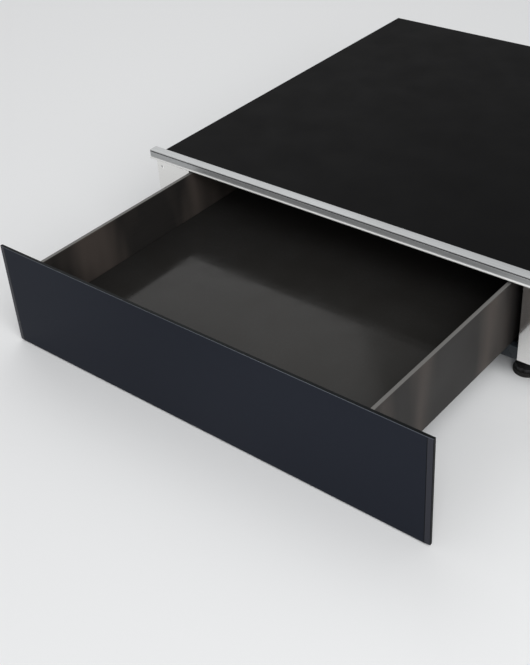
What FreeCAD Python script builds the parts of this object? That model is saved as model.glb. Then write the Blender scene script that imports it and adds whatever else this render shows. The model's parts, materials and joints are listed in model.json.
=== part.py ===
import FreeCAD, Part
import math
import os

# Built-in warming drawer with a glass front, in millimetres.
# X runs to the right, -Y is the front, Z is up. The origin lies in the plane of the
# front flanges, on the centre line, at the level of the surface that carries the feet.
# Drawer pieces are drawn closed and then moved forward by rest_open.

V = FreeCAD.Vector

# Front panel
front_width = 595.0
front_height = 135.0
front_bottom = 2.0
glass_thickness = 4.0
glass_standoff = 10.0
facet_width = 7.0
facet_depth = 1.0
arris = 0.5
stiffener_inset = 9.5
stiffener_wall_gap = 2.0
stiffener_foot = 8.0
stiffener_head = 10.0
bumper_inset = 20.5
bumper_radius = 5.0
bumper_chamfer = 0.8
bumper_heights = (45.0, 115.0)
striker_thickness = 1.5
striker_half_width = 10.0
striker_half_height = 12.0

# Drawer box
drawer_depth = 446.0
wall_thickness = 4.8
wall_edge_radius = 0.9
skin = 1.0
sheet = 1.2
inner_front_drop = 15.0
floor_glass = 4.0
floor_seal_height = 1.4
floor_seal_width = 8.0
floor_screw_gap = 0.2
floor_gap = 2.5
tray_skirt = 17.0
tray_screw_drop = 3.4
tray_screw_length = 4.0
rear_panel_drop = 1.0
rear_lip = 8.0
rear_slot_width = 6.0
rear_slot_pitch = 12.0
slot_rise = 6.0
slot_drop = 12.0

# Travel
rest_open = 254.0
full_travel = 400.0
closed_gap = 0.3

# Housing
flange_tab = 19.5
side_bay = 47.0
flange_reveal = 10.0
foot_height = 33.0
sill_height = 16.8
fold = 12.0
panel_fold = 10.0
skirt = 14.0
rear_bay = 92.0
trim_gap = 3.2
trim_bead = 1.8
trim_face = 11.8
trim_proud = 10.0
pad_thickness = 6.0
pad_side_gap = 14.0
pad_front_gap = 4.0
pad_rear_gap = 2.0
header_clearance = 1.0
sill_fold = 9.0

# Runners
rail_inset = 26.0
rail_front = 12.0
rail_rear_gap = 6.0
drawer_rail_lead = 6.0
middle_rear_gap = 4.0
middle_half = 8.0
middle_wall = 2.2
ball_radius = 2.4
ball_clearance = 0.3
ball_channel = 3.5
balls_per_strip = 6
cage_thickness = 1.0
cage_half_height = 3.2
cage_end = 15.0
rail_wall = 1.5
lip_thickness = 1.2
lip_clearance = 0.4
pass_gap = 1.1

# Hot air unit
fan_drop = 33.0
impeller_radius = 34.0
impeller_width = 22.0
impeller_gap = 9.0
blade_count = 14
blade_depth = 10.0
blade_half = 0.5
blade_lean = 24.0
hub_radius = 8.0
hub_length = 12.0
inlet_radius = 22.0
heater_gap = 3.8
heater_tube = 3.2
motor_radius = 26.0
motor_length = 38.0
motor_gap = 6.0
motor_step = 5.0
ear_thickness = 3.0
ear_reach = 9.0
ear_half = 6.0
ear_screw_reach = 4.5
motor_bracket_half = 75.0
motor_bracket_foot = 18.0
heater_leg_x = 12.0
cutout_reach = 40.0
cutout_plate_half = 14.0
cutout_can_radius = 8.0
cutout_can_length = 8.0
cutout_tab_length = 7.0
sensor_plate_radius = 7.0
sensor_probe_length = 23.0
shaft_radius = 3.0
running_clearance = 0.06
seal_width = 5.0
outlet_offset = 68.0
outlet_columns = 6
duct_gap = 6.0

# Wiring and supply
cable_duct_height = 12.0
cable_duct_front = 30.0
moulding_wall = 1.5
terminal_wall = 2.0
terminal_offset = 6.0
terminal_width = 70.0
terminal_depth = 65.0
terminal_height = 50.0
gland_radius = 9.0
gland_bore = 4.0
gland_rise = 26.0
gland_inside = 12.0
gland_outside = 14.0
gland_nut_radius = 12.5
gland_nut_depth = 6.0
vent_start = 40.0
vent_pitch = 10.0
vent_count = 14
vent_margin = 30.0

# Controls
control_inset = 18.0
knob_radius = 11.0
knob_length = 7.0
knob_height = 92.0
knob_skirt = 3.0
knob_grip_inset = 1.5
knob_rib_radius = 0.7
knob_rib_count = 18
knob_hole_radius = 4.0
switch_half = 12.0
switch_back = 26.0
switch_tab_length = 7.0
spindle_back = 20.0
lens_height = 70.0
lens_radius = 3.0
lens_collar_radius = 4.5
lens_collar_depth = 2.0
sensor_drop = 18.0
reed_half_width = 6.0
reed_half_height = 5.5
reed_back = 8.0
plunger_radius = 4.0
plunger_chamfer = 1.0
latch_height = 85.0
latch_half = 12.0
latch_length = 60.0
spring_wire = 0.4
spring_radius = 2.9
spring_pitch = 3.0

# Fixings
screw_radius = 1.6
screw_clearance = 0.1
head_radius = 3.0
head_height = 2.0
housing_screw_length = 7.0
motor_screw_length = 6.0
rear_screw_shares = (-0.35, 0.6)
tab_hole_radius = 2.25
tab_hole_inset = 9.5
tab_hole_pitch = 65.0
rail_screw_radius = 1.9
rail_screw_head = 3.5
rail_screw_head_height = 1.4
bracket_half = 16.0
bracket_length = 40.0
bracket_wall = 2.0
foot_inset = 38.0
foot_setback = 30.0
foot_pad_radius = 16.0
foot_pad_height = 5.0
foot_disc_radius = 14.0
foot_disc_height = 5.0
foot_post_radius = 6.0
foot_stub_radius = 3.0

# Derived places
front_half = front_width / 2
housing_half = front_half - flange_tab
box_half = housing_half - side_bay
box_inner = box_half - wall_thickness
flange_inner = box_half + flange_reveal
panel_half = housing_half - sheet
bay_x = housing_half - control_inset
front_top = front_bottom + front_height
glass_back = -glass_standoff
glass_front = glass_back - glass_thickness
base_top = foot_height + sheet
sill_top = foot_height + sill_height
wall_bottom = sill_top + header_clearance + 0.2
trim_bottom = front_top + trim_gap
housing_top = trim_bottom + trim_face
cover_bottom = housing_top - sheet
duct_front = drawer_depth + duct_gap
duct_back = duct_front + sheet
housing_back = duct_front + rear_bay

rail_x = box_half - rail_inset
rail_rear = drawer_depth - rail_rear_gap
middle_rear = rail_rear - middle_rear_gap
middle_bottom = sill_top + pass_gap
ball_offset = middle_half + ball_channel / 2
channel_half = middle_half + ball_channel
rail_half = channel_half + rail_wall
groove_radius = ball_radius + ball_clearance
rail_web_top = middle_bottom - 1.9
rail_bottom = rail_web_top - rail_wall
low_ball = middle_bottom + groove_radius + 1.6
low_lip = low_ball + cage_half_height + lip_clearance
high_lip = low_lip + lip_thickness + 1.0
high_ball = high_lip + lip_thickness + lip_clearance + cage_half_height
middle_top = high_ball + groove_radius + 0.7
drawer_web = middle_top + 1.2
tray_bottom = drawer_web + rail_wall
tray_top = tray_bottom + sheet
floor_bottom = tray_top + floor_seal_height
floor_top = floor_bottom + floor_glass
cage_front = rail_front + full_travel / 4 + 2.0
cage_rear = middle_rear - full_travel / 4 - 2.0

fan_height = front_top - fan_drop
impeller_front = duct_back + impeller_gap
impeller_back = impeller_front + impeller_width
bracket_front = impeller_back + motor_gap
bracket_back = bracket_front + rail_wall
motor_back = bracket_back + motor_length
heater_radius = impeller_radius + heater_gap + heater_tube
heater_y = impeller_front + impeller_width / 2

terminal_left = -housing_half + terminal_offset
terminal_right = terminal_left + terminal_width
terminal_front = housing_back - terminal_depth
terminal_top = base_top + terminal_height
gland_x = (terminal_left + terminal_right) / 2
gland_z = base_top + gland_rise

stiffener_outer = front_half - stiffener_inset
stiffener_inner = box_half + stiffener_wall_gap
plate_back = glass_back + sheet
bumper_x = front_half - bumper_inset
ear_screw_x = motor_radius + ear_screw_reach
disc_bottom = foot_pad_height
disc_top = disc_bottom + foot_disc_height
plunger_tip = plate_back + striker_thickness + closed_gap
side_screw_rows = (60.0, drawer_depth * 0.62, duct_front + rear_bay - 35.0)
tray_screw_rows = (60.0, drawer_depth * 0.45, drawer_depth * 0.75)
bracket_rows = (rail_front + 38.0, rail_rear - 40.0)


def box(x0, x1, y0, y1, z0, z1):
    low = V(min(x0, x1), min(y0, y1), min(z0, z1))
    high = V(max(x0, x1), max(y0, y1), max(z0, z1))
    size = high - low
    return Part.makeBox(size.x, size.y, size.z, low)


def rod(radius, start, end):
    run = V(*end) - V(*start)
    return Part.makeCylinder(radius, run.Length, V(*start), run)


def fuse(shapes):
    return shapes[0].fuse(shapes[1:]).removeSplitter()


def cut(body, tools):
    return body.cut(tools)


def outline_xy(points, z0, z1):
    corners = [V(x, y, z0) for x, y in points]
    wire = Part.makePolygon(corners + corners[:1])
    return Part.Face(wire).extrude(V(0, 0, z1 - z0))


def save(name, shape, forward=0.0):
    placed = shape.copy()
    placed.translate(V(0, -forward, 0))
    placed.exportStep("parts/" + name + ".step")


def save_group(name, solids, forward=0.0):
    save(name, Part.makeCompound(solids), forward)


def pan_screw(start, direction, length):
    # start is the point under the head, direction runs along the shank
    point = V(*start)
    axis = V(*direction)
    shank = Part.makeCylinder(screw_radius, length, point, axis)
    head = Part.makeCylinder(head_radius, head_height, point - axis * head_height, axis)
    return fuse([head, shank])


def screw_hole(start, end):
    return rod(screw_radius + screw_clearance, start, end)


def along_x(edge):
    ends = [v.Point for v in edge.Vertexes]
    if len(ends) < 2:
        return False
    run = ends[1] - ends[0]
    return abs(run.y) + abs(run.z) < 1e-6


# ---- drawer front ----

def front_glass():
    edge = front_half - facet_width
    side = glass_front + facet_depth
    points = [(-front_half, glass_back), (-front_half, side), (-edge, glass_front)]
    points += [(edge, glass_front), (front_half, side), (front_half, glass_back)]
    plate = outline_xy(points, front_bottom, front_top)
    return plate.makeChamfer(arris, [e for e in plate.Edges if along_x(e)])


def front_stiffener(sign):
    low = front_bottom + stiffener_foot
    high = front_top - stiffener_head
    return box(sign * stiffener_inner, sign * stiffener_outer, glass_back, plate_back, low, high)


def inner_front():
    top = front_top - inner_front_drop
    bottom = tray_bottom - tray_skirt
    shell = box(-box_inner, box_inner, glass_back, 0, bottom, top)
    inside = box(-box_inner + sheet, box_inner - sheet, glass_back, -sheet, bottom + sheet, top - sheet)
    return cut(shell, [inside])


def bumper(sign, height):
    x = sign * bumper_x
    post = rod(bumper_radius, (x, plate_back, height), (x, -closed_gap, height))
    return post.makeChamfer(bumper_chamfer, [e for e in post.Edges if e.BoundBox.YMin > -closed_gap - 1e-3])


def latch_striker():
    across = (bay_x - striker_half_width, bay_x + striker_half_width)
    upward = (latch_height - striker_half_height, latch_height + striker_half_height)
    return box(*across, plate_back, plate_back + striker_thickness, *upward)


# ---- drawer box ----

def tray_screw_points(sign):
    height = tray_bottom - tray_skirt / 2 - tray_screw_drop
    return [(sign * (box_inner - sheet), y, height) for y in tray_screw_rows]


def drawer_side(sign):
    inner = sign * box_inner
    outer = sign * box_half
    shell = box(inner, outer, glass_back, drawer_depth, wall_bottom, front_top)
    top_edges = [e for e in shell.Edges if along_y_at(e, front_top)]
    shell = shell.makeFillet(wall_edge_radius, top_edges)
    front_end = glass_back + skin
    rear_end = drawer_depth - skin
    inside_half = (inner + sign * skin, outer - sign * skin)
    inside = box(*inside_half, front_end, rear_end, wall_bottom - 1, front_top - skin)
    middle = (inner + outer) / 2
    holes = [screw_hole((0, y, z), (middle, y, z)) for x, y, z in tray_screw_points(sign)]
    return cut(shell, [inside] + holes)


def along_y_at(edge, height):
    ends = [v.Point for v in edge.Vertexes]
    level = all(abs(p.z - height) < 1e-6 for p in ends)
    return level and abs(ends[0].x - ends[1].x) < 1e-6


def rail_screw_points(sign):
    return [(sign * rail_x, y, tray_top) for y in bracket_rows]


def drawer_tray():
    bottom = tray_bottom - tray_skirt
    rear = drawer_depth - sheet
    pieces = [box(-box_inner, box_inner, 0, rear, tray_bottom, tray_top)]
    pieces.append(box(-box_inner, box_inner, 0, sheet, bottom, tray_bottom))
    tools = []
    for sign in (-1, 1):
        inner = sign * (box_inner - sheet)
        pieces.append(box(inner, sign * box_inner, 0, rear, bottom, tray_bottom))
        for x, y, z in tray_screw_points(sign):
            tools.append(screw_hole((x - sign * 2, y, z), (x + sign * 3, y, z)))
        for x, y, z in rail_screw_points(sign):
            tools.append(screw_hole((x, y, tray_bottom - 1), (x, y, tray_top + 1)))
    return cut(fuse(pieces), tools)


def drawer_rear_panel():
    top = front_top - rear_panel_drop
    front = drawer_depth - sheet
    web = box(-box_inner, box_inner, front, drawer_depth, tray_bottom, top)
    lip = box(-box_inner, box_inner, drawer_depth - rear_lip, drawer_depth, top - sheet, top)
    low = floor_top + slot_rise
    high = top - slot_drop
    columns = [rear_slot_pitch * i for i in range(-2, 3)]
    for sign in (-1, 1):
        columns += [sign * (outlet_inner() + rear_slot_pitch * (i + 0.5)) for i in range(outlet_columns)]
    slots = [slot(x, front - 1, drawer_depth + 1, low, high) for x in columns]
    return cut(fuse([web, lip]), slots)


def outlet_inner():
    return inlet_radius + outlet_offset


def outlet_outer():
    return outlet_inner() + rear_slot_pitch * outlet_columns


def slot(x, y0, y1, z0, z1):
    half = rear_slot_width / 2
    middle = box(x - half, x + half, y0, y1, z0 + half, z1 - half)
    ends = [rod(half, (x, y0, z), (x, y1, z)) for z in (z0 + half, z1 - half)]
    return fuse([middle] + ends)


def floor_plate():
    half = box_inner - floor_gap
    rear = drawer_depth - sheet - floor_gap
    plate = box(-half, half, floor_gap, rear, floor_bottom, floor_top)
    top_edges = [e for e in plate.Edges if min(v.Z for v in e.Vertexes) > floor_top - 1e-6]
    return plate.makeChamfer(arris, top_edges)


def floor_seal():
    half = box_inner - floor_gap - 1.0
    front = floor_gap + 1.0
    rear = drawer_depth - sheet - floor_gap - 1.0
    ring = box(-half, half, front, rear, tray_top, floor_bottom)
    w = floor_seal_width
    hole = box(-half + w, half - w, front + w, rear - w, tray_top - 1, floor_bottom + 1)
    return cut(ring, [hole])


def drawer_screws():
    screws = []
    for sign in (-1, 1):
        for x, y, z in tray_screw_points(sign):
            screws.append(pan_screw((x, y, z), (sign, 0, 0), tray_screw_length))
        for x, y, z in rail_screw_points(sign):
            head = rod(head_radius, (x, y, tray_top), (x, y, floor_bottom - floor_screw_gap))
            shank = rod(screw_radius, (x, y, tray_top), (x, y, drawer_web))
            screws.append(fuse([head, shank]))
    return screws


# ---- runners ----

def groove(x, z, y0, y1):
    return rod(groove_radius, (x, y0 - 1, z), (x, y1 + 1, z))


def fixed_rail(sign):
    x = sign * rail_x
    y0 = rail_front
    y1 = rail_rear
    lip_top = low_lip + lip_thickness
    body = box(x - rail_half, x + rail_half, y0, y1, rail_bottom, lip_top)
    channel = box(x - channel_half, x + channel_half, y0 - 1, y1 + 1, rail_web_top, low_lip)
    mouth_half = middle_half + lip_thickness
    mouth = box(x - mouth_half, x + mouth_half, y0 - 1, y1 + 1, low_lip - 1, lip_top + 1)
    tools = [channel, mouth]
    tools += [groove(x + side * ball_offset, low_ball, y0, y1) for side in (-1, 1)]
    tools += [rail_screw_hole(x, y, rail_bottom - 1, rail_web_top + 1) for y in bracket_rows]
    return cut(body, tools)


def drawer_rail(sign):
    x = sign * rail_x
    y0 = rail_front - drawer_rail_lead
    y1 = rail_rear
    body = box(x - rail_half, x + rail_half, y0, y1, high_lip, tray_bottom)
    channel = box(x - channel_half, x + channel_half, y0 - 1, y1 + 1, high_lip + lip_thickness, drawer_web)
    mouth_half = middle_half + lip_thickness
    mouth = box(x - mouth_half, x + mouth_half, y0 - 1, y1 + 1, high_lip - 1, high_lip + lip_thickness + 1)
    tools = [channel, mouth]
    tools += [groove(x + side * ball_offset, high_ball, y0, y1) for side in (-1, 1)]
    for px, y, z in rail_screw_points(sign):
        tools.append(screw_hole((px, y, drawer_web - 1), (px, y, tray_bottom + 1)))
    return cut(body, tools)


def middle_rail(sign):
    x = sign * rail_x
    y0 = rail_front
    y1 = middle_rear
    inner = middle_half - middle_wall
    body = box(x - middle_half, x + middle_half, y0, y1, middle_bottom, middle_top)
    bore = box(x - inner, x + inner, y0 - 1, y1 + 1, middle_bottom + middle_wall, middle_top - middle_wall)
    tools = [bore]
    for z in (low_ball, high_ball):
        tools += [groove(x + side * ball_offset, z, y0, y1) for side in (-1, 1)]
    return cut(body, tools)


def ball_cage(sign, z):
    length = cage_rear - cage_front
    pitch = (length - 2 * cage_end) / (balls_per_strip - 1)
    rows = [cage_front + cage_end + pitch * i for i in range(balls_per_strip)]
    solids = []
    for side in (-1, 1):
        x = sign * rail_x + side * ball_offset
        half = cage_thickness / 2
        strip = box(x - half, x + half, cage_front, cage_rear, z - cage_half_height, z + cage_half_height)
        holes = [rod(ball_radius + 0.15, (x - 2, y, z), (x + 2, y, z)) for y in rows]
        solids.append(cut(strip, holes))
        solids += [Part.makeSphere(ball_radius, V(x, y, z)) for y in rows]
    return solids


def rail_bracket(sign, y):
    x = sign * rail_x
    y0 = y - bracket_length / 2
    y1 = y + bracket_length / 2
    inner_half = bracket_half - bracket_wall
    outer = box(x - bracket_half, x + bracket_half, y0, y1, base_top, rail_bottom)
    inner = box(x - inner_half, x + inner_half, y0 - 1, y1 + 1, base_top - 1, rail_bottom - bracket_wall)
    return cut(outer, [inner, rail_screw_hole(x, y, rail_bottom - 3, rail_bottom + 1)])


def rail_screw_hole(x, y, z0, z1):
    return rod(rail_screw_radius + screw_clearance, (x, y, z0), (x, y, z1))


def rail_screw(sign, y):
    x = sign * rail_x
    top = rail_web_top + rail_screw_head_height
    head = rod(rail_screw_head, (x, y, rail_web_top), (x, y, top))
    shank = rod(rail_screw_radius, (x, y, rail_bottom - 5), (x, y, rail_web_top))
    return fuse([head, shank])


# ---- housing ----

def side_screw_points(sign, z):
    return [(sign * (housing_half + sheet), y, z) for y in side_screw_rows]


def housing_screw_rows():
    return (foot_height + skirt / 2, housing_top - skirt / 2)


def side_holes(sign, z):
    points = side_screw_points(sign, z)
    return [screw_hole((x + sign * 1, y, zz), (x - sign * 4, y, zz)) for x, y, zz in points]


def rear_screw_points():
    y = housing_back + sheet
    return [(housing_half * share, y, z) for share in rear_screw_shares for z in housing_screw_rows()]


def rear_holes():
    return [screw_hole((x, y + 1, z), (x, y - 4, z)) for x, y, z in rear_screw_points()]


def folded_pan(web_low, skirt_low, skirt_high, hole_z):
    # a flat sheet with skirts folded round its two sides and its back
    outer = housing_half + sheet
    web = box(-outer, outer, sheet, housing_back + sheet, web_low, web_low + sheet)
    back = box(-outer, outer, housing_back, housing_back + sheet, skirt_low, skirt_high)
    sides = [box(s * housing_half, s * outer, sheet, housing_back, skirt_low, skirt_high) for s in (-1, 1)]
    holes = side_holes(-1, hole_z) + side_holes(1, hole_z) + rear_holes()
    return cut(fuse([web, back] + sides), holes)


def foot_points():
    x = housing_half - foot_inset
    return [(s * x, y) for s in (-1, 1) for y in (foot_setback, housing_back - foot_setback)]


def base_plate():
    pan = folded_pan(foot_height, foot_height, foot_height + skirt, housing_screw_rows()[0])
    hole_radius = foot_stub_radius + screw_clearance
    holes = [rod(hole_radius, (x, y, foot_height - 1), (x, y, base_top + 1)) for x, y in foot_points()]
    return cut(pan, holes)


def top_cover():
    return folded_pan(cover_bottom, housing_top - skirt, housing_top, housing_screw_rows()[1])


def side_panel(sign):
    outer = sign * housing_half
    web = box(sign * panel_half, outer, sheet, housing_back - sheet, base_top, cover_bottom)
    inner = sign * (panel_half - panel_fold)
    top = box(inner, sign * panel_half, sheet, housing_back - sheet, cover_bottom - sheet, cover_bottom)
    holes = []
    for z in housing_screw_rows():
        holes += side_holes(sign, z)
    return cut(fuse([web, top]), holes)


def rear_panel():
    panel = box(-housing_half, housing_half, housing_back - sheet, housing_back, base_top, cover_bottom)
    y0 = housing_back - 3
    y1 = housing_back + 1
    columns = [vent_start + vent_pitch * i for i in range(vent_count)]
    vents = [slot(x, y0, y1, base_top + vent_margin, cover_bottom - vent_margin) for x in columns]
    gland = rod(gland_radius + 0.1, (gland_x, y0, gland_z), (gland_x, y1, gland_z))
    return cut(panel, vents + [gland] + rear_holes())


def housing_screws():
    screws = []
    for sign in (-1, 1):
        for z in housing_screw_rows():
            screws += [pan_screw(p, (-sign, 0, 0), housing_screw_length) for p in side_screw_points(sign, z)]
    screws += [pan_screw(p, (0, -1, 0), housing_screw_length) for p in rear_screw_points()]
    return screws


def flange(sign):
    face = box(sign * flange_inner, sign * front_half, 0, sheet, foot_height, cover_bottom)
    turn = sign * (flange_inner + sheet)
    back = box(sign * flange_inner, turn, 0, fold, base_top, trim_bottom)
    x = sign * (front_half - tab_hole_inset)
    centre = (foot_height + housing_top) / 2
    rows = [centre + s * tab_hole_pitch / 2 for s in (-1, 1)]
    return cut(fuse([face, back]), [through_flange(tab_hole_radius, x, z) for z in rows])


def through_flange(radius, x, z):
    return rod(radius, (x, -1, z), (x, sheet + 1, z))


def flange_left():
    spindle_hole = through_flange(knob_hole_radius, -bay_x, knob_height)
    lens_hole = through_flange(lens_radius + screw_clearance, -bay_x, lens_height)
    holes = [spindle_hole, lens_hole]
    return cut(flange(-1), holes)


def flange_right():
    return cut(flange(1), [through_flange(plunger_radius + 0.5, bay_x, latch_height)])


def front_sill():
    face = box(-flange_inner, flange_inner, 0, sheet, foot_height, sill_top)
    top = box(-flange_inner, flange_inner, 0, sill_fold, sill_top - sheet, sill_top)
    return fuse([face, top])


def front_header():
    face = box(-flange_inner, flange_inner, 0, sheet, trim_bottom, cover_bottom)
    top = box(-flange_inner, flange_inner, 0, fold, cover_bottom - sheet, cover_bottom)
    return fuse([face, top])


def top_trim():
    front = -trim_proud
    face = box(-front_half, front_half, front, front + sheet, trim_bottom, housing_top)
    ledge = box(-front_half, front_half, front, sheet, cover_bottom, housing_top)
    floor = box(-front_half, front_half, front, 0, trim_bottom, trim_bottom + sheet)
    centre = trim_bottom + trim_bead
    bead = rod(trim_bead, (-front_half, front - 0.3, centre), (front_half, front - 0.3, centre))
    inner = front_half - sheet
    caps = [box(s * inner, s * front_half, front, 0, trim_bottom, housing_top) for s in (-1, 1)]
    return fuse([face, ledge, floor, bead] + caps)


def insulation_pad():
    half = panel_half - pad_side_gap
    front = fold + pad_front_gap
    rear = duct_front - pad_rear_gap
    return box(-half, half, front, rear, cover_bottom - pad_thickness, cover_bottom)


def levelling_foot(x, y):
    disc = rod(foot_disc_radius, (x, y, disc_bottom), (x, y, disc_top))
    post = rod(foot_post_radius, (x, y, disc_top), (x, y, foot_height))
    stub = rod(foot_stub_radius, (x, y, foot_height), (x, y, base_top))
    return fuse([disc, post, stub])


def foot_pad(x, y):
    return rod(foot_pad_radius, (x, y, 0.0), (x, y, foot_pad_height))


# ---- hot air unit ----

def duct_panel():
    panel = box(-panel_half, panel_half, duct_front, duct_back, base_top, cover_bottom)
    inlet = rod(inlet_radius, (0, duct_front - 1, fan_height), (0, duct_back + 1, fan_height))
    low = floor_top + 6.0
    high = front_top - 9.0
    y0 = duct_front - 1
    y1 = duct_back + 1
    tools = [inlet]
    for sign in (-1, 1):
        tools.append(box(sign * outlet_inner(), sign * outlet_outer(), y0, y1, low, high))
        corner = sign * (panel_half - panel_fold - closed_gap)
        side = sign * (panel_half + 1)
        tools.append(box(corner, side, y0, y1, cover_bottom - sheet, cover_bottom + 1))
    notch_top = base_top + cable_duct_height + closed_gap
    tools.append(box(*cable_duct_span(closed_gap), y0, y1, base_top - 1, notch_top))
    return cut(panel, tools)


def cable_duct_span(gap):
    left = -bay_x - cable_duct_height / 3
    return (left - gap, left + cable_duct_height + gap)


def cable_duct():
    x0, x1 = cable_duct_span(0.0)
    z0 = base_top
    z1 = base_top + cable_duct_height
    w = moulding_wall
    outer = box(x0, x1, cable_duct_front, terminal_front, z0, z1)
    inner = box(x0 + w, x1 - w, cable_duct_front - 1, terminal_front + 1, z0 + w, z1 - w)
    return cut(outer, [inner])


def duct_seal():
    half = outlet_outer() + 6 + seal_width
    low = floor_top - 2.0
    high = front_top - 2.0
    ring = box(-half, half, drawer_depth + closed_gap, duct_front, low, high)
    w = seal_width
    hole = box(-half + w, half - w, drawer_depth, duct_front + 1, low + w, high - w)
    return cut(ring, [hole])


def inlet_grille():
    disc = rod(inlet_radius + 4, (0, duct_back, fan_height), (0, duct_back + 1.5, fan_height))
    limit = inlet_radius - 2
    pitch = limit / 3.5
    half = pitch * 0.3
    slots = []
    for i in range(-3, 4):
        x = i * pitch
        reach = math.sqrt(limit * limit - x * x)
        z0 = fan_height - reach
        z1 = fan_height + reach
        slots.append(box(x - half, x + half, duct_back - 1, duct_back + 3, z0, z1))
    return cut(disc, slots)


def fan_impeller():
    y0 = impeller_front
    y1 = impeller_back
    back = rod(impeller_radius, (0, y1 - sheet, fan_height), (0, y1, fan_height))
    hub = rod(hub_radius, (0, y1 - hub_length, fan_height), (0, y1, fan_height))
    ring = rod(impeller_radius, (0, y0, fan_height), (0, y0 + sheet, fan_height))
    eye = rod(impeller_radius - 5, (0, y0 - 1, fan_height), (0, y0 + sheet + 1, fan_height))
    pieces = [back, hub, cut(ring, [eye])]
    inner = impeller_radius - blade_depth
    low = fan_height - blade_half
    high = fan_height + blade_half
    for i in range(blade_count):
        blade = box(inner, impeller_radius - 0.6, y0, y1, low, high)
        blade.rotate(V(inner, 0, fan_height), V(0, 1, 0), blade_lean)
        blade.rotate(V(0, 0, fan_height), V(0, 1, 0), 360.0 / blade_count * i)
        pieces.append(blade)
    limit = rod(impeller_radius, (0, y0, fan_height), (0, y1, fan_height))
    bore = rod(shaft_radius + 0.02, (0, y0 - 1, fan_height), (0, y1 + 1, fan_height))
    return cut(fuse(pieces).common(limit), [bore])


def fan_shaft():
    shaft = rod(shaft_radius, (0, impeller_back - 16, fan_height), (0, motor_back - 9, fan_height))
    collar = rod(shaft_radius + 3, (0, impeller_back - 15, fan_height), (0, impeller_back - 12, fan_height))
    return fuse([shaft, collar])


def fan_motor():
    case = rod(motor_radius, (0, bracket_back, fan_height), (0, motor_back, fan_height))
    step = rod(motor_radius - 8, (0, motor_back, fan_height), (0, motor_back + motor_step, fan_height))
    reach = motor_radius + ear_reach
    ear_back = bracket_back + ear_thickness
    ears = box(-reach, reach, bracket_back, ear_back, fan_height - ear_half, fan_height + ear_half)
    bore_radius = shaft_radius + running_clearance
    bore = rod(bore_radius, (0, bracket_back - 1, fan_height), (0, motor_back - 8, fan_height))
    holes = [ear_hole(s, bracket_back - 1, ear_back + 1) for s in (-1, 1)]
    return cut(fuse([case, step, ears]), [bore] + holes)


def ear_hole(sign, y0, y1):
    x = sign * ear_screw_x
    return screw_hole((x, y0, fan_height), (x, y1, fan_height))


def motor_bracket():
    half = motor_bracket_half
    foot_back = bracket_front + motor_bracket_foot
    web = box(-half, half, bracket_front, bracket_back, base_top, cover_bottom - 2)
    foot = box(-half, half, bracket_front, foot_back, base_top, base_top + rail_wall)
    hole = rod(6.0, (0, bracket_front - 1, fan_height), (0, bracket_back + 1, fan_height))
    holes = [ear_hole(s, bracket_front - 1, bracket_back + 1) for s in (-1, 1)]
    return cut(fuse([web, foot]), [hole] + holes)


def motor_screws():
    y = bracket_back + ear_thickness
    starts = [(s * ear_screw_x, y, fan_height) for s in (-1, 1)]
    return [pan_screw(start, (0, -1, 0), motor_screw_length) for start in starts]


def ring_heater():
    centre = V(0, heater_y, fan_height)
    ring = Part.makeTorus(heater_radius, heater_tube, centre, V(0, 1, 0))
    ring.rotate(centre, V(0, 1, 0), 90)
    x = heater_leg_x
    z = fan_height - math.sqrt(heater_radius * heater_radius - x * x)
    legs = [rod(heater_tube - 0.3, (s * x, heater_y, z), (s * x, bracket_front, z)) for s in (-1, 1)]
    return fuse([ring] + legs)


def thermal_cutout():
    x = inlet_radius + cutout_reach
    half = cutout_plate_half
    plate_top = duct_back + 1
    plate = box(x - half, x + half, duct_back, plate_top, fan_height - 6, fan_height + 6)
    y0 = plate_top + cutout_can_length
    y1 = y0 + cutout_tab_length
    can = rod(cutout_can_radius, (x, plate_top, fan_height), (x, y0, fan_height))
    spots = (x - 4, x + 4)
    tabs = [box(p - 0.5, p + 0.5, y0, y1, fan_height - 3, fan_height + 3) for p in spots]
    return fuse([plate, can] + tabs)


def temperature_sensor():
    x = -inlet_radius - cutout_reach
    plate_top = duct_back + 1
    probe_end = plate_top + sensor_probe_length
    plate = rod(sensor_plate_radius, (x, duct_back, fan_height), (x, plate_top, fan_height))
    probe = rod(3.0, (x, plate_top, fan_height), (x, probe_end, fan_height))
    return fuse([plate, probe])


# ---- controls and supply ----

def rotary_switch():
    x = -bay_x
    z = knob_height
    half = switch_half
    case = box(x - half, x + half, sheet, switch_back, z - half, z + half)
    tab_back = switch_back + switch_tab_length
    tabs = [box(x + dx - 1.5, x + dx + 1.5, switch_back, tab_back, z - 0.5, z + 0.5) for dx in (-8, 0, 8)]
    bore = rod(shaft_radius + running_clearance, (x, 0, z), (x, spindle_back + closed_gap, z))
    return cut(fuse([case] + tabs), [bore])


def switch_spindle():
    return rod(shaft_radius, (-bay_x, -knob_length + 2, knob_height), (-bay_x, spindle_back, knob_height))


def temperature_knob():
    x = -bay_x
    z = knob_height
    front = -closed_gap - knob_length
    skirt_front = -closed_gap - knob_skirt
    grip = knob_radius - knob_grip_inset
    skirt_disc = rod(knob_radius, (x, -closed_gap, z), (x, skirt_front, z))
    cap = rod(grip, (x, skirt_front, z), (x, front, z))
    cap = cap.makeChamfer(0.8, [e for e in cap.Edges if e.BoundBox.YMax < front + 1e-3])
    ribs = []
    for i in range(knob_rib_count):
        rib = rod(knob_rib_radius, (x + grip, skirt_front, z), (x + grip, front + 0.9, z))
        rib.rotate(V(x, 0, z), V(0, 1, 0), 360.0 / knob_rib_count * i)
        ribs.append(rib)
    body = fuse([skirt_disc, cap] + ribs)
    bore = rod(shaft_radius + 0.02, (x, 0, z), (x, -knob_length + 2, z))
    pointer = box(x - 0.5, x + 0.5, front - 1, front + 0.5, z + 2, z + knob_radius - 2)
    return cut(body, [bore, pointer])


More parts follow.
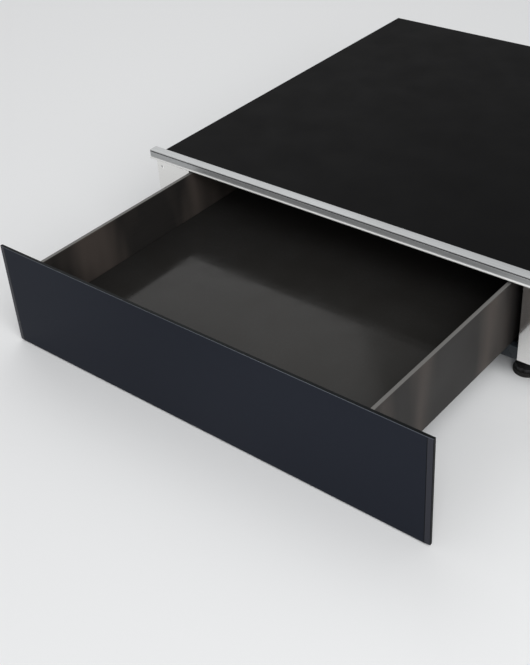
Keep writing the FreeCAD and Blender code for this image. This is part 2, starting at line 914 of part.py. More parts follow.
def indicator_lens():
    x = -bay_x
    z = lens_height
    stem = rod(lens_radius, (x, -0.6, z), (x, sheet, z))
    dome = Part.makeSphere(5.0, V(x, 3.0, z)).common(rod(lens_radius, (x, -2.1, z), (x, 0, z)))
    collar = rod(lens_collar_radius, (x, sheet, z), (x, sheet + lens_collar_depth, z))
    return fuse([stem, dome, collar])


def reed_sensor():
    z = latch_height - sensor_drop
    across = (bay_x - reed_half_width, bay_x + reed_half_width)
    return box(*across, sheet, reed_back, z - reed_half_height, z + reed_half_height)


def latch_body():
    x = bay_x
    z = latch_height
    half = latch_half
    case = box(x - half, x + half, sheet, sheet + latch_length, z - half, z + half)
    bore = rod(plunger_radius + running_clearance, (x, 0, z), (x, sheet + latch_length - 3, z))
    return cut(case, [bore])


def latch_plunger():
    x = bay_x
    z = latch_height
    body = rod(plunger_radius, (x, plunger_tip, z), (x, sheet + latch_length / 2, z))
    return body.makeChamfer(plunger_chamfer, [e for e in body.Edges if e.BoundBox.YMax < plunger_tip + 1e-3])


def latch_spring():
    start = sheet + latch_length / 2 + 0.5
    length = latch_length / 2 - 4.2
    helix = Part.makeHelix(spring_pitch, length, spring_radius)
    profile = Part.Wire(Part.makeCircle(spring_wire, V(spring_radius, 0, 0), V(0, 1, 0)))
    coil = Part.Wire(helix.Edges).makePipeShell([profile], True, True)
    coil.rotate(V(0, 0, 0), V(1, 0, 0), -90)
    coil.translate(V(bay_x, start, latch_height))
    return coil


def terminal_box():
    back = housing_back - sheet
    w = terminal_wall
    case = box(terminal_left, terminal_right, terminal_front, back, base_top, terminal_top)
    span = (terminal_left + w, terminal_right - w, terminal_front + w, back - w)
    inner = box(*span, base_top + w, terminal_top + 1)
    entry = rod(gland_radius + 0.1, (gland_x, back - w - 1, gland_z), (gland_x, back + 1, gland_z))
    x0, x1 = cable_duct_span(-moulding_wall)
    z1 = base_top + cable_duct_height - moulding_wall
    leads = box(x0, x1, terminal_front - 1, terminal_front + w + 1, base_top + w + 0.5, z1)
    return cut(case, [inner, entry, leads])


def terminal_lid():
    back = housing_back - sheet
    w = terminal_wall
    top = terminal_top + w
    lid = box(terminal_left, terminal_right, terminal_front, back, terminal_top, top)
    inset = w + closed_gap
    span = (terminal_left + inset, terminal_right - inset)
    rib = box(*span, terminal_front + inset, terminal_front + inset + w, terminal_top - 5, terminal_top)
    return fuse([lid, rib])


def mains_gland():
    inner_end = housing_back - gland_inside
    outer_end = housing_back + gland_outside
    body = rod(gland_radius, (gland_x, inner_end, gland_z), (gland_x, outer_end, gland_z))
    hexagon = [(math.cos(math.pi / 3 * i), math.sin(math.pi / 3 * i)) for i in range(7)]
    r = gland_nut_radius
    points = [V(gland_x + r * c, housing_back, gland_z + r * s) for c, s in hexagon]
    nut = Part.Face(Part.makePolygon(points)).extrude(V(0, gland_nut_depth, 0))
    bore = rod(gland_bore, (gland_x, inner_end - 1, gland_z), (gland_x, outer_end + 1, gland_z))
    return cut(fuse([body, nut]), [bore])


def write_drawer():
    save("front_glass", front_glass(), rest_open)
    save_group("front_stiffeners", [front_stiffener(s) for s in (-1, 1)], rest_open)
    save("inner_front", inner_front(), rest_open)
    save_group("front_bumpers", [bumper(s, z) for s in (-1, 1) for z in bumper_heights], rest_open)
    save("latch_striker", latch_striker(), rest_open)
    save("drawer_side_left", drawer_side(-1), rest_open)
    save("drawer_side_right", drawer_side(1), rest_open)
    save("drawer_tray", drawer_tray(), rest_open)
    save("drawer_rear_panel", drawer_rear_panel(), rest_open)
    save("floor_glass", floor_plate(), rest_open)
    save("floor_seal", floor_seal(), rest_open)
    save_group("drawer_screws", drawer_screws(), rest_open)


def write_runners():
    for sign, side in ((-1, "left"), (1, "right")):
        save("runner_rail_" + side, fixed_rail(sign))
        save("runner_middle_" + side, middle_rail(sign), rest_open / 2)
        save("runner_drawer_" + side, drawer_rail(sign), rest_open)
        save_group("ball_cage_lower_" + side, ball_cage(sign, low_ball), rest_open / 4)
        save_group("ball_cage_upper_" + side, ball_cage(sign, high_ball), rest_open * 3 / 4)
    save_group("runner_brackets", [rail_bracket(s, y) for s in (-1, 1) for y in bracket_rows])


def write_housing():
    save("base_plate", base_plate())
    save("top_cover", top_cover())
    save("side_panel_left", side_panel(-1))
    save("side_panel_right", side_panel(1))
    save("rear_panel", rear_panel())
    save("front_flange_left", flange_left())
    save("front_flange_right", flange_right())
    save("front_sill", front_sill())
    save("front_header", front_header())
    save("top_trim", top_trim())
    save("insulation_pad", insulation_pad())
    save_group("housing_screws", housing_screws())
    save_group("levelling_feet", [levelling_foot(x, y) for x, y in foot_points()])
    save_group("foot_pads", [foot_pad(x, y) for x, y in foot_points()])


def write_air_unit():
    save("duct_panel", duct_panel())
    save("duct_seal", duct_seal())
    save("inlet_grille", inlet_grille())
    save("fan_impeller", fan_impeller())
    save("fan_shaft", fan_shaft())
    save("fan_motor", fan_motor())
    save("motor_bracket", motor_bracket())
    rail_screws = [rail_screw(s, y) for s in (-1, 1) for y in bracket_rows]
    save_group("machine_screws", motor_screws() + rail_screws)
    save("ring_heater", ring_heater())
    save("thermal_cutout", thermal_cutout())
    save("temperature_sensor", temperature_sensor())


def write_controls():
    save("rotary_switch", rotary_switch())
    save("switch_spindle", switch_spindle())
    save("temperature_knob", temperature_knob())
    save("indicator_lens", indicator_lens())
    save("reed_sensor", reed_sensor())
    save("latch_body", latch_body())
    save("latch_plunger", latch_plunger())
    save("latch_spring", latch_spring())
    save("cable_duct", cable_duct())
    save("terminal_box", terminal_box())
    save("terminal_lid", terminal_lid())
    save("mains_gland", mains_gland())


os.makedirs("parts", exist_ok=True)
write_drawer()
write_runners()
write_housing()
write_air_unit()
write_controls()
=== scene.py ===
import json
import math
import bmesh
import bpy
from mathutils import Matrix, Vector


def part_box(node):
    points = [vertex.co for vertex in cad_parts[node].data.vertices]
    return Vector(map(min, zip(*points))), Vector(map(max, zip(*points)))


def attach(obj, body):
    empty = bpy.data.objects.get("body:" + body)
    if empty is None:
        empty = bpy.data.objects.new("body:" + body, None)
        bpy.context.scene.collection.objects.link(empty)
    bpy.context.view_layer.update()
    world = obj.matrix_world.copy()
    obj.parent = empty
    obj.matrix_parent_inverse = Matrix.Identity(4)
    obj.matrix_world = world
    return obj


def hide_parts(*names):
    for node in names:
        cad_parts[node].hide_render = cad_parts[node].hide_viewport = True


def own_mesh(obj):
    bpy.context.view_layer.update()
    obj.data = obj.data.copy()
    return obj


# Built-in warming drawer, drawn out on its runners. Metres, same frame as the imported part.

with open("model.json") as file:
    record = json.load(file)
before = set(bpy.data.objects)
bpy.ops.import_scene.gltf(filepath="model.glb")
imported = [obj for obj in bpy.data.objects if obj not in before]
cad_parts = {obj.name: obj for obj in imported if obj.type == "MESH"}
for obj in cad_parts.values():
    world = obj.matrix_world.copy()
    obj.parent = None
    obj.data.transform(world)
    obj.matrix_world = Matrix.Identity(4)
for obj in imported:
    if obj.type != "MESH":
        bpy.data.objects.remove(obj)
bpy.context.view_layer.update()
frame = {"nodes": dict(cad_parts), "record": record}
nodes = frame["nodes"]
bpy.ops.object.select_all(action="DESELECT")
print("frame loaded:", len(nodes), "nodes")


# node helpers

noiseSpan = (0.3, 0.7)  # most of a noise texture's values lie in here
fullSpan = (0.0, 1.0)


def colour(red, green, blue):  # from a colour picker's 0 to 255
    parts = [value / 255 for value in (red, green, blue)]
    return tuple(v / 12.92 if v <= 0.04045 else ((v + 0.055) / 1.055) ** 2.4 for v in parts) + (1.0,)


def setInputs(tree, sockets, values):  # another node's output is linked, anything else is set
    for name, value in values.items():
        if isinstance(value, bpy.types.NodeSocket):
            tree.links.new(value, sockets[name])
        else:
            sockets[name].default_value = value


def addNode(tree, kind, inputs=None, **settings):
    made = tree.nodes.new("ShaderNode" + kind)
    for name, value in settings.items():
        setattr(made, name, value)
    setInputs(tree, made.inputs, inputs or {})
    return made.outputs


def addMath(tree, operation, first, second):
    return addNode(tree, "Math", {0: first, 1: second}, operation=operation)[0]


def addNoise(tree, place, scale, detail):
    return addNode(tree, "TexNoise", {"Vector": place, "Scale": scale, "Detail": detail})


def remap(tree, value, start=noiseSpan, end=fullSpan, **settings):
    ends = {"Value": value, "From Min": start[0], "From Max": start[1], "To Min": end[0], "To Max": end[1]}
    return addNode(tree, "MapRange", ends, **settings)["Result"]


def startMaterial(name):
    material = bpy.data.materials.new(name)
    material.use_nodes = True
    tree = material.node_tree
    return material, tree, tree.nodes["Principled BSDF"].inputs, addNode(tree, "TexCoord")["Object"]


# camera, floor and light

cameraPlace = {
    "azimuth": 41.5,  # degrees round to the right
    "elevation": 35.8,
    "roll": -4.2,
    "target": (0.0016, -0.1486, 0.062),
    "distance": 1.2714,
    "lens": 60.68,  # mm on a 36 mm sensor
}

studio = {
    "floorSize": 60.0,
    "floorColour": (238, 239, 240),
    "floorRoughness": 0.9,
    "floorGloss": 0.1,
    "floorFade": (1.6, 5.0),  # where the floor starts and ends its blend into the backdrop
    "floorGlow": 0.4,  # added to the far floor, for the same rays as the backdrop
    "worldColour": (255, 255, 255),
    "worldStrength": 0.35,
    "backdropStrength": 0.66,  # what the camera, metal and glass see behind the object
    "keyPlace": (2.4, -1.83, 2.68),
    "keySize": 3.2,
    "keyPower": 128.0,
    "fillPlace": (-1.5, 0.9, 2.1),
    "fillSize": 1.8,
    "fillPower": 14.0,
}


def addCamera():
    azimuth, elevation, roll = (math.radians(cameraPlace[k]) for k in ("azimuth", "elevation", "roll"))
    turn = Matrix.Rotation(azimuth, 4, "Z") @ Matrix.Rotation(math.pi / 2 - elevation, 4, "X")
    turn = turn @ Matrix.Rotation(roll, 4, "Z")
    place = Vector(cameraPlace["target"]) + turn.to_3x3().col[2] * cameraPlace["distance"]
    bpy.ops.object.camera_add()
    camera = bpy.context.active_object
    camera.name = "camera"
    camera.matrix_world = Matrix.Translation(place) @ turn
    camera.data.sensor_width = 36.0
    camera.data.lens = cameraPlace["lens"]
    bpy.context.scene.camera = camera


def addLamp(name):
    place = Vector(studio[name + "Place"])
    bpy.ops.object.light_add(type="AREA", location=place)
    lamp = bpy.context.active_object
    lamp.name = name + "Lamp"
    lamp.data.shape = "SQUARE"
    lamp.data.size = studio[name + "Size"]
    lamp.data.energy = studio[name + "Power"]
    aim = Vector(cameraPlace["target"]) - place
    lamp.rotation_euler = aim.to_track_quat("-Z", "Y").to_euler()


def seenRays(tree):  # 1 for camera, glossy and transmission rays, 0 for the light's own
    path = addNode(tree, "LightPath")
    direct = addMath(tree, "MAXIMUM", path["Is Camera Ray"], path["Is Glossy Ray"])
    return addMath(tree, "MAXIMUM", direct, path["Is Transmission Ray"])


def addWorld():
    world = bpy.data.worlds.new("studio")
    bpy.context.scene.world = world
    world.use_nodes = True
    tree = world.node_tree
    strengths = (studio["worldStrength"], studio["backdropStrength"])
    setInputs(tree, tree.nodes["Background"].inputs, {
        "Color": colour(*studio["worldColour"]),
        "Strength": remap(tree, seenRays(tree), fullSpan, strengths),
    })


def addFloor():
    bpy.ops.mesh.primitive_plane_add(size=studio["floorSize"], location=(0, 0, 0))
    ground = bpy.context.active_object
    ground.name = "studioFloor"
    material, tree, paint, place = startMaterial("studioFloor")
    reach = addNode(tree, "VectorMath", {0: place}, operation="LENGTH")["Value"]
    glow = (0.0, studio["floorGlow"])
    fade = remap(tree, reach, studio["floorFade"], glow, interpolation_type="SMOOTHSTEP")
    setInputs(tree, paint, {
        "Base Color": colour(*studio["floorColour"]),
        "Roughness": studio["floorRoughness"],
        "Specular IOR Level": studio["floorGloss"],
        "Emission Color": colour(*studio["floorColour"]),
        "Emission Strength": addMath(tree, "MULTIPLY", fade, seenRays(tree)),
    })
    ground.data.materials.append(material)


bpy.context.scene.view_settings.view_transform = "Standard"
addCamera()
addWorld()
addLamp("key")
addLamp("fill")
addFloor()
print("camera, floor and lamps placed")


# shared effects, as node groups

def sharedEffect(name, build, inputs):  # build makes the inside and gives its outputs by name
    tree = bpy.data.node_groups.new(name, "ShaderNodeTree")
    for label, value in inputs.items():
        kind = "Float" if isinstance(value, float) else "Vector"
        socket = tree.interface.new_socket(name=label, in_out="INPUT", socket_type="NodeSocket" + kind)
        if value is not None:
            socket.default_value = value
    results = build(tree, tree.nodes.new("NodeGroupInput").outputs)
    for label in results:
        kind = "Vector" if label == "Normal" else "Float"
        tree.interface.new_socket(name=label, in_out="OUTPUT", socket_type="NodeSocket" + kind)
    setInputs(tree, tree.nodes.new("NodeGroupOutput").inputs, results)
    return tree


def facingUp(tree, start):  # 0 on walls, 1 on faces that look up
    normal = addNode(tree, "NewGeometry")["Normal"]
    return remap(tree, addNode(tree, "SeparateXYZ", {"Vector": normal})["Z"], start)


def brushLines(tree, entry):  # fine lines along one axis, with slow blotches
    spread = {0: entry["Place"], 1: entry["Stretch"]}
    stretched = addNode(tree, "VectorMath", spread, operation="MULTIPLY")["Vector"]
    fine = addNoise(tree, stretched, scale=1.0, detail=3.0)["Fac"]
    slow = addNoise(tree, entry["Place"], scale=9.0, detail=2.0)["Fac"]
    swing = addMath(tree, "MULTIPLY", addMath(tree, "SUBTRACT", fine, 0.5), entry["Depth"])
    drift = remap(tree, slow, end=(-0.04, 0.05))
    return {"Lines": fine, "Blotch": slow, "Rough": addMath(tree, "ADD", swing, drift)}


def wornEdges(tree, entry):  # 1 on worn edges, with a softened normal
    soft = addNode(tree, "Bevel", {"Radius": entry["Radius"]}, samples=4)["Normal"]
    both = {0: soft, 1: addNode(tree, "NewGeometry")["Normal"]}
    match = addNode(tree, "VectorMath", both, operation="DOT_PRODUCT")["Value"]
    edge = remap(tree, match, start=(0.995, 0.86))
    breaks = addNoise(tree, entry["Place"], scale=160.0, detail=3.0)["Fac"]
    uneven = remap(tree, breaks, start=(0.35, 0.6), end=(0.35, 1.0))
    return {"Edge": addMath(tree, "MULTIPLY", edge, uneven), "Normal": soft}


def settledDust(tree, entry):  # a thin film on faces that look up
    cloud = addNoise(tree, entry["Place"], scale=14.0, detail=6.0)["Fac"]
    grain = addNoise(tree, entry["Place"], scale=620.0, detail=2.0)["Fac"]
    patches = remap(tree, cloud, start=(0.38, 0.68), end=(0.2, 1.0))
    specks = remap(tree, grain, start=(0.5, 0.75), end=(0.35, 1.0))
    film = addMath(tree, "MULTIPLY", patches, specks)
    lying = addMath(tree, "MULTIPLY", film, facingUp(tree, start=(0.5, 1.0)))
    return {"Dust": addMath(tree, "MULTIPLY", lying, entry["Amount"])}


def wipeMarks(tree, entry):  # wipe marks and finger touches on gloss
    bend = addNoise(tree, entry["Place"], scale=5.0, detail=1.0)["Color"]
    bent = addNode(tree, "VectorMath", {0: entry["Place"], 1: bend}, operation="ADD")["Vector"]
    wipes = addNoise(tree, bent, entry["Scale"], detail=8.0)["Fac"]
    return {"Smear": addMath(tree, "MULTIPLY", remap(tree, wipes, start=(0.45, 0.72)), entry["Amount"])}


def pebbleSkin(tree, entry):  # the skin of moulded plastic and powder coat
    grain = addNoise(tree, entry["Place"], entry["Scale"], detail=2.0)["Fac"]
    slow = addNoise(tree, entry["Place"], scale=22.0, detail=3.0)["Fac"]
    return {"Height": grain, "Shade": slow}


def paintedTopHighlight(tree, entry):  # painted highlight on sheet edges that look up: 1 there, 0 elsewhere
    return {"Highlight": addMath(tree, "MULTIPLY", facingUp(tree, start=(0.35, 0.9)), entry["Amount"])}


def paintedWallReflections(tree, entry):  # painted reflections: soft upright bands of lighter colour along a long wall
    stretch, shift = (5.0, 17.0, 3.0), (0.687, 9.7, 0.0)
    spread = {0: entry["Place"], 1: stretch, 2: shift}
    stretched = addNode(tree, "VectorMath", spread, operation="MULTIPLY_ADD")["Vector"]
    reflectionBands = addNoise(tree, stretched, scale=1.0, detail=2.0)["Fac"]
    return {"Streak": addMath(tree, "MULTIPLY", remap(tree, reflectionBands, start=(0.42, 0.66)), entry["Amount"])}


def zincCrystals(tree, entry):  # the crystals on galvanised sheet
    bend = addNoise(tree, entry["Place"], scale=60.0, detail=2.0)["Color"]
    nudge = addNode(tree, "VectorMath", {0: bend, "Scale": 0.008}, operation="SCALE")["Vector"]
    bent = addNode(tree, "VectorMath", {0: entry["Place"], 1: nudge}, operation="ADD")["Vector"]
    cells = addNode(tree, "TexVoronoi", {"Vector": bent, "Scale": entry["Scale"]})["Color"]
    tone = addNode(tree, "SeparateXYZ", {"Vector": cells})["X"]
    return {"Crystal": addMath(tree, "MULTIPLY", tone, entry["Amount"])}


lineInputs = {"Place": None, "Stretch": (40.0, 900.0, 900.0), "Depth": 0.2}
brushing = sharedEffect("brushing", brushLines, lineInputs)
spangle = sharedEffect("spangle", zincCrystals, {"Place": None, "Scale": 130.0, "Amount": 0.5})
# a painted highlight on faces that look up
folds = sharedEffect("folds", paintedTopHighlight, {"Amount": 0.0})
# painted reflections in soft upright bands
streaks = sharedEffect("streaks", paintedWallReflections, {"Place": None, "Amount": 0.0})
edges = sharedEffect("edges", wornEdges, {"Radius": 0.0006, "Place": None})
dust = sharedEffect("dust", settledDust, {"Place": None, "Amount": 0.1})
smears = sharedEffect("smears", wipeMarks, {"Place": None, "Scale": 7.0, "Amount": 0.06})
pebble = sharedEffect("pebble", pebbleSkin, {"Place": None, "Scale": 900.0})
print("shared effects built")


# materials

dustColour = colour(150, 148, 144)
glassDustColour = colour(120, 122, 126)


def addEffect(tree, group, inputs):
    return addNode(tree, "Group", inputs, node_tree=group)


def layered(tree, base, layers):  # each layer is a mask and the colour that it brings
    for mask, tone in layers:
        base = addNode(tree, "Mix", {0: mask, 6: base, 7: tone}, data_type="RGBA")[2]
    return base


def addBump(tree, height, strength, distance, **normal):
    values = {"Height": height, "Strength": strength, "Distance": distance, **normal}
    return addNode(tree, "Bump", values)["Normal"]


steel = {  # a sheet metal's values, where its own row gives none
    "grain": (1600.0, 14.0, 1600.0), "grainDepth": 0.1, "edge": 0.0006, "dust": 0.05, "blotch": 0.4,
    "stain": (76, 70, 67), "warm": (104, 95, 89), "streak": 0.0, "fold": 0.0, "spangle": 0.0,
    "metallic": 1.0, "gloss": 0.5, "bump": 0.05, "wave": 0.25,
}


def sheetMetal(name, **own):  # brushed or rolled sheet with worn, bright edges
    look = {**steel, **own}
    material, tree, paint, place = startMaterial(name)
    lines = {"Place": place, "Stretch": look["grain"], "Depth": look["grainDepth"]}
    marks = addEffect(tree, brushing, lines)
    rim = addEffect(tree, edges, {"Radius": look["edge"], "Place": place})
    stain, bright = colour(*look["stain"]), colour(*look["bright"])
    layers = [
        (remap(tree, marks["Lines"]), colour(*look["light"])),
        (remap(tree, marks["Blotch"], end=(0.0, look["blotch"])), stain),
    ]
    if look["spangle"]:
        crystals = {"Place": place, "Amount": look["spangle"]}
        layers.append((addEffect(tree, spangle, crystals)["Crystal"], stain))
    # painted reflections: upright bands in a lighter, warmer colour
    reflectionBands = addEffect(tree, streaks, {"Place": place, "Amount": look["streak"]})
    layers += [
        (reflectionBands["Streak"], colour(*look["warm"])),
        # a painted highlight: the bright colour on faces that look up
        (addEffect(tree, folds, {"Amount": look["fold"]})["Highlight"], bright),
        (rim["Edge"], bright),
        (addEffect(tree, dust, {"Place": place, "Amount": look["dust"]})["Dust"], dustColour),
    ]
    wavy = addBump(tree, marks["Blotch"], look["wave"], distance=0.004, Normal=rim["Normal"])
    setInputs(tree, paint, {
        "Base Color": layered(tree, colour(*look["dark"]), layers),
        "Roughness": addMath(tree, "ADD", marks["Rough"], look["roughness"]),
        "Metallic": look["metallic"],
        "Specular IOR Level": look["gloss"],
        "Normal": addBump(tree, marks["Lines"], look["bump"], distance=0.0002, Normal=wavy),
    })
    return material


plastic = {
    "pebble": 900.0, "edge": 0.0006, "dust": 0.1, "wear": 0.2, "roughness": 0.5, "gloss": 0.4,
    "roughSwing": 0.05,  # how far the roughness goes up and down over the skin
}


def moulded(name, **own):  # plastic, rubber, powder coat
    look = {**plastic, **own}
    material, tree, paint, place = startMaterial(name)
    skin = addEffect(tree, pebble, {"Place": place, "Scale": look["pebble"]})
    rim = addEffect(tree, edges, {"Radius": look["edge"], "Place": place})
    ends = (look["roughness"] - look["roughSwing"], look["roughness"] + look["roughSwing"])
    setInputs(tree, paint, {
        "Base Color": layered(tree, colour(*look["dark"]), [
            (remap(tree, skin["Shade"]), colour(*look["light"])),
            (addMath(tree, "MULTIPLY", rim["Edge"], look["wear"]), colour(*look["bright"])),
            (addEffect(tree, dust, {"Place": place, "Amount": look["dust"]})["Dust"], dustColour),
        ]),
        "Roughness": remap(tree, skin["Shade"], end=ends),
        "Specular IOR Level": look["gloss"],
        "Normal": addBump(tree, skin["Height"], look["bump"], distance=0.0003, Normal=rim["Normal"]),
    })
    return material


glass = {"smearScale": 9.0, "smear": 0.04, "dust": 0.0, "roughness": 0.2, "ripple": 0.0}


def backedGlass(name, **own):  # float glass with an opaque coat behind it
    look = {**glass, **own}
    material, tree, paint, place = startMaterial(name)
    wipe = addEffect(tree, smears, {"Place": place, "Scale": look["smearScale"], "Amount": look["smear"]})
    tone = remap(tree, addNoise(tree, place, scale=3.0, detail=1.0)["Fac"])
    ripple = addNoise(tree, place, scale=6.0, detail=1.0)["Fac"]
    setInputs(tree, paint, {
        "Base Color": layered(tree, colour(*look["dark"]), [
            (tone, colour(*look["light"])),
            (addEffect(tree, dust, {"Place": place, "Amount": look["dust"]})["Dust"], glassDustColour),
        ]),
        "Roughness": addMath(tree, "ADD", wipe["Smear"], look["roughness"]),
        "IOR": 1.52,
        "Specular IOR Level": look["gloss"],
        "Specular Tint": colour(*look["tint"]),
        "Normal": addBump(tree, ripple, look["ripple"], distance=0.001),
    })
    return material


materials = {
    # drawer steel: the lighter, warmer upright bands along its walls are painted reflections
    "drawer_steel": sheetMetal(
        "drawerSteel", dark=(41, 40, 39), light=(48, 46, 45), stain=(37, 35, 34), bright=(106, 105, 103),
        # the walls' upward faces get a painted highlight
        roughness=0.42, bump=0.12, metallic=0.2, gloss=0.08, streak=0.7, fold=1.0, warm=(88, 80, 75),
    ),
    "trim_steel": sheetMetal(
        "trimSteel", grain=(12.0, 1400.0, 1400.0), dark=(172, 174, 175), light=(188, 190, 191),
        stain=(170, 171, 170), blotch=0.2, bright=(228, 228, 228), roughness=0.42, metallic=0.45, gloss=0.3,
    ),
    "flange_steel": sheetMetal(
        "polishedSteel", grain=(60.0, 60.0, 900.0), dark=(238, 237, 235), light=(244, 243, 241),
        stain=(228, 227, 224), blotch=0.3, bright=(248, 247, 245), roughness=0.1, bump=0.01, wave=0.06,
    ),
    "sill_steel": moulded(
        "sillEnamel", pebble=700.0, dust=0.06, dark=(18, 24, 29), light=(24, 31, 37), wear=0.5,
        bright=(92, 104, 112), roughness=0.28, bump=0.06,
    ),
    "galvanised": sheetMetal(
        "galvanised", grain=(160.0, 110.0, 160.0), dark=(146, 149, 152), light=(164, 167, 169),
        stain=(112, 115, 118), blotch=0.25, bright=(186, 188, 190), roughness=0.42, spangle=0.85,
    ),
    "black_cover": moulded(
        "blackEnamel", pebble=650.0, edge=0.0008, dust=0.005, dark=(7, 7, 8), light=(10, 10, 11), wear=0.5,
        bright=(52, 52, 54), gloss=0.03, bump=0.1,
    ),
    "runner_steel": sheetMetal(
        "runnerSteel", grain=(900.0, 20.0, 900.0), dark=(148, 152, 156), light=(176, 180, 184),
        stain=(130, 132, 130), bright=(210, 212, 214), roughness=0.3,
    ),
    "ball_steel": sheetMetal(
        "ballSteel", grain=(300.0, 300.0, 300.0), dark=(196, 198, 200), light=(206, 208, 210),
        stain=(170, 170, 168), bright=(220, 220, 220), roughness=0.12, bump=0.02,
    ),
    "screw_steel": sheetMetal(
        "screwSteel", grain=(500.0, 500.0, 500.0), dark=(158, 160, 163), light=(184, 186, 188),
        stain=(120, 118, 112), bright=(214, 214, 214), roughness=0.28, bump=0.08,
    ),
    "heater_steel": sheetMetal(
        "heaterSteel", grain=(300.0, 300.0, 300.0), dark=(92, 84, 74), light=(118, 106, 92),
        stain=(70, 60, 66), blotch=0.7, bright=(150, 138, 120), roughness=0.4,
    ),
    "motor_case": sheetMetal(
        "motorCase", grain=(200.0, 500.0, 200.0), dark=(120, 122, 124), light=(146, 148, 150),
        bright=(180, 182, 184), roughness=0.45,
    ),
    "feet_plastic": moulded(
        "footPlastic", pebble=1200.0, dark=(24, 24, 25), light=(32, 32, 33), wear=0.3, bright=(66, 66, 66),
        bump=0.2,
    ),
    "pad_rubber": moulded(
        "bumperRubber", dust=0.12, dark=(20, 20, 20), light=(30, 29, 28), wear=0.4, bright=(60, 59, 57),
        roughness=0.75, gloss=0.3, bump=0.3,
    ),
    "seal_silicone": moulded(
        "sealSilicone", pebble=500.0, dark=(56, 56, 58), light=(68, 68, 70), bright=(90, 90, 92),
        roughness=0.6, bump=0.15,
    ),
    "insulation": moulded(
        "insulationFoil", pebble=420.0, edge=0.001, dark=(164, 163, 157), light=(180, 179, 174),
        bright=(206, 204, 200), roughness=0.7, gloss=0.3, bump=0.8,
    ),
    "control_plastic": moulded(
        "controlPlastic", pebble=1400.0, edge=0.0004, dust=0.06, dark=(26, 26, 27), light=(33, 33, 34),
        wear=0.4, bright=(78, 78, 80), roughness=0.4, gloss=0.5, bump=0.12,
    ),
    "duct_plastic": moulded(
        "ductPlastic", pebble=1000.0, dark=(172, 172, 168), light=(190, 190, 186), bright=(210, 210, 206),
        bump=0.1,
    ),
    "lens": moulded(
        "lampLens", pebble=300.0, edge=0.0002, dust=0.02, dark=(170, 92, 30), light=(196, 112, 40),
        wear=0.1, bright=(220, 160, 90), roughness=0.15, gloss=0.5, bump=0.02,
    ),
    "front_glass": backedGlass(
        "frontGlass", smearScale=6.0, smear=0.05, dust=0.02, dark=(30, 33, 41), light=(37, 40, 48),
        roughness=0.05, ripple=0.02, gloss=0.035, tint=(206, 220, 255),
    ),
    "floor_glass": backedGlass(
        "floorGlass", smear=0.08, dust=0.05, dark=(32, 31, 30), light=(39, 38, 36), roughness=0.1,
        ripple=0.02, gloss=0.075, tint=(255, 252, 250),
    ),
    "glassEdge": backedGlass(
        "glassEdge", dark=(4, 5, 7), light=(8, 9, 11), roughness=0.3, gloss=0.05, tint=(225, 245, 245),
    ),
    # the arris catches real highlights with its gloss; its colour, lighter than the glass face, is a
    # painted highlight
    "glassArris": backedGlass(
        "glassArris", dark=(52, 56, 64), light=(78, 82, 90), gloss=0.4, tint=(240, 248, 255),
    ),
    "glassFacet": backedGlass(
        "glassFacet", smearScale=12.0, smear=0.1, dust=0.02, dark=(44, 45, 51), light=(52, 53, 60),
        gloss=0.1, tint=(235, 238, 250),
    ),
    "glassBack": moulded(
        "glassBackCoat", pebble=1200.0, edge=0.0003, dust=0.02, dark=(10, 11, 13), light=(14, 15, 17),
        wear=0.1, bright=(30, 32, 34), roughness=0.6, gloss=0.3, bump=0.1,
    ),
    "dialPrint": moulded(
        "dialPrint", edge=0.0001, dust=0.0, dark=(42, 42, 44), light=(52, 52, 54), wear=0.0,
        bright=(60, 60, 62), roughness=0.6, gloss=0.3, bump=0.05,
    ),
    "pointerPaint": moulded(
        "pointerPaint", edge=0.0001, dust=0.0, dark=(214, 214, 210), light=(226, 226, 222), wear=0.0,
        bright=(232, 232, 230), bump=0.05,
    ),
    "polishedBead": sheetMetal(
        "polishedBead", grain=(12.0, 1400.0, 1400.0), dark=(240, 240, 239), light=(246, 246, 245),
        stain=(232, 232, 231), bright=(250, 250, 249), roughness=0.16, bump=0.02, wave=0.05, metallic=0.35,
    ),
}
print("materials mixed:", len(materials))


def finishNodes():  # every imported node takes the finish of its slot
    slotOf = {row["node"]: row["material_slot"] for row in frame["record"]["subparts"]}
    for name, node in nodes.items():
        finish = materials[slotOf[name]]
        if not node.material_slots:
            node.data.materials.append(finish)
        for holder in node.material_slots:
            holder.material = finish


finishNodes()
print("packed nodes finished")


# modelling helpers

tiny = 1e-5  # metres, for telling places apart
square = 0.9  # a normal with more than this along an axis looks that way
turnTo = {"X": (0, math.pi / 2, 0), "Y": (math.pi / 2, 0, 0), "Z": (0, 0, 0)}


def pick(*pieces):  # nothing else stays selected, and the first one is active
    bpy.ops.object.select_all(action="DESELECT")
    for piece in pieces:
        piece.select_set(True)
    if pieces:
        bpy.context.view_layer.objects.active = pieces[0]


def inEdit(piece):
    pick(piece)
    bpy.ops.object.mode_set(mode="EDIT")


def outOfEdit():
    bpy.ops.object.mode_set(mode="OBJECT")


def selectAll():
    bpy.ops.mesh.select_all(action="SELECT")


def selectParts(kind, rows, test):  # kind is VERT, EDGE or FACE
    bpy.ops.mesh.select_mode(type=kind)
    bpy.ops.mesh.select_all(action="DESELECT")
    mesh = bpy.context.edit_object.data
    shape = bmesh.from_edit_mesh(mesh)
    for part in getattr(shape, rows):
        part.select_set(bool(test(part)))
    shape.select_flush_mode()
    bmesh.update_edit_mesh(mesh)


def selectVertices(test):
    selectParts("VERT", "verts", lambda v: test(v.co))


def selectEdges(test):
    selectParts("EDGE", "edges", lambda e: test(e.verts[0].co, e.verts[1].co))


def selectFaces(test):
    selectParts("FACE", "faces", lambda f: test(f.calc_center_median(), f.normal))


def selectLooking(*way):  # the faces that look along an axis
    selectFaces(lambda c, n: n.dot(Vector(way)) > square)


def move(*way):
    bpy.ops.transform.translate(value=way)


def extrude(*way):
    bpy.ops.mesh.extrude_region_move(TRANSFORM_OT_translate={"value": way})


def inset(width):
    bpy.ops.mesh.inset(thickness=width)


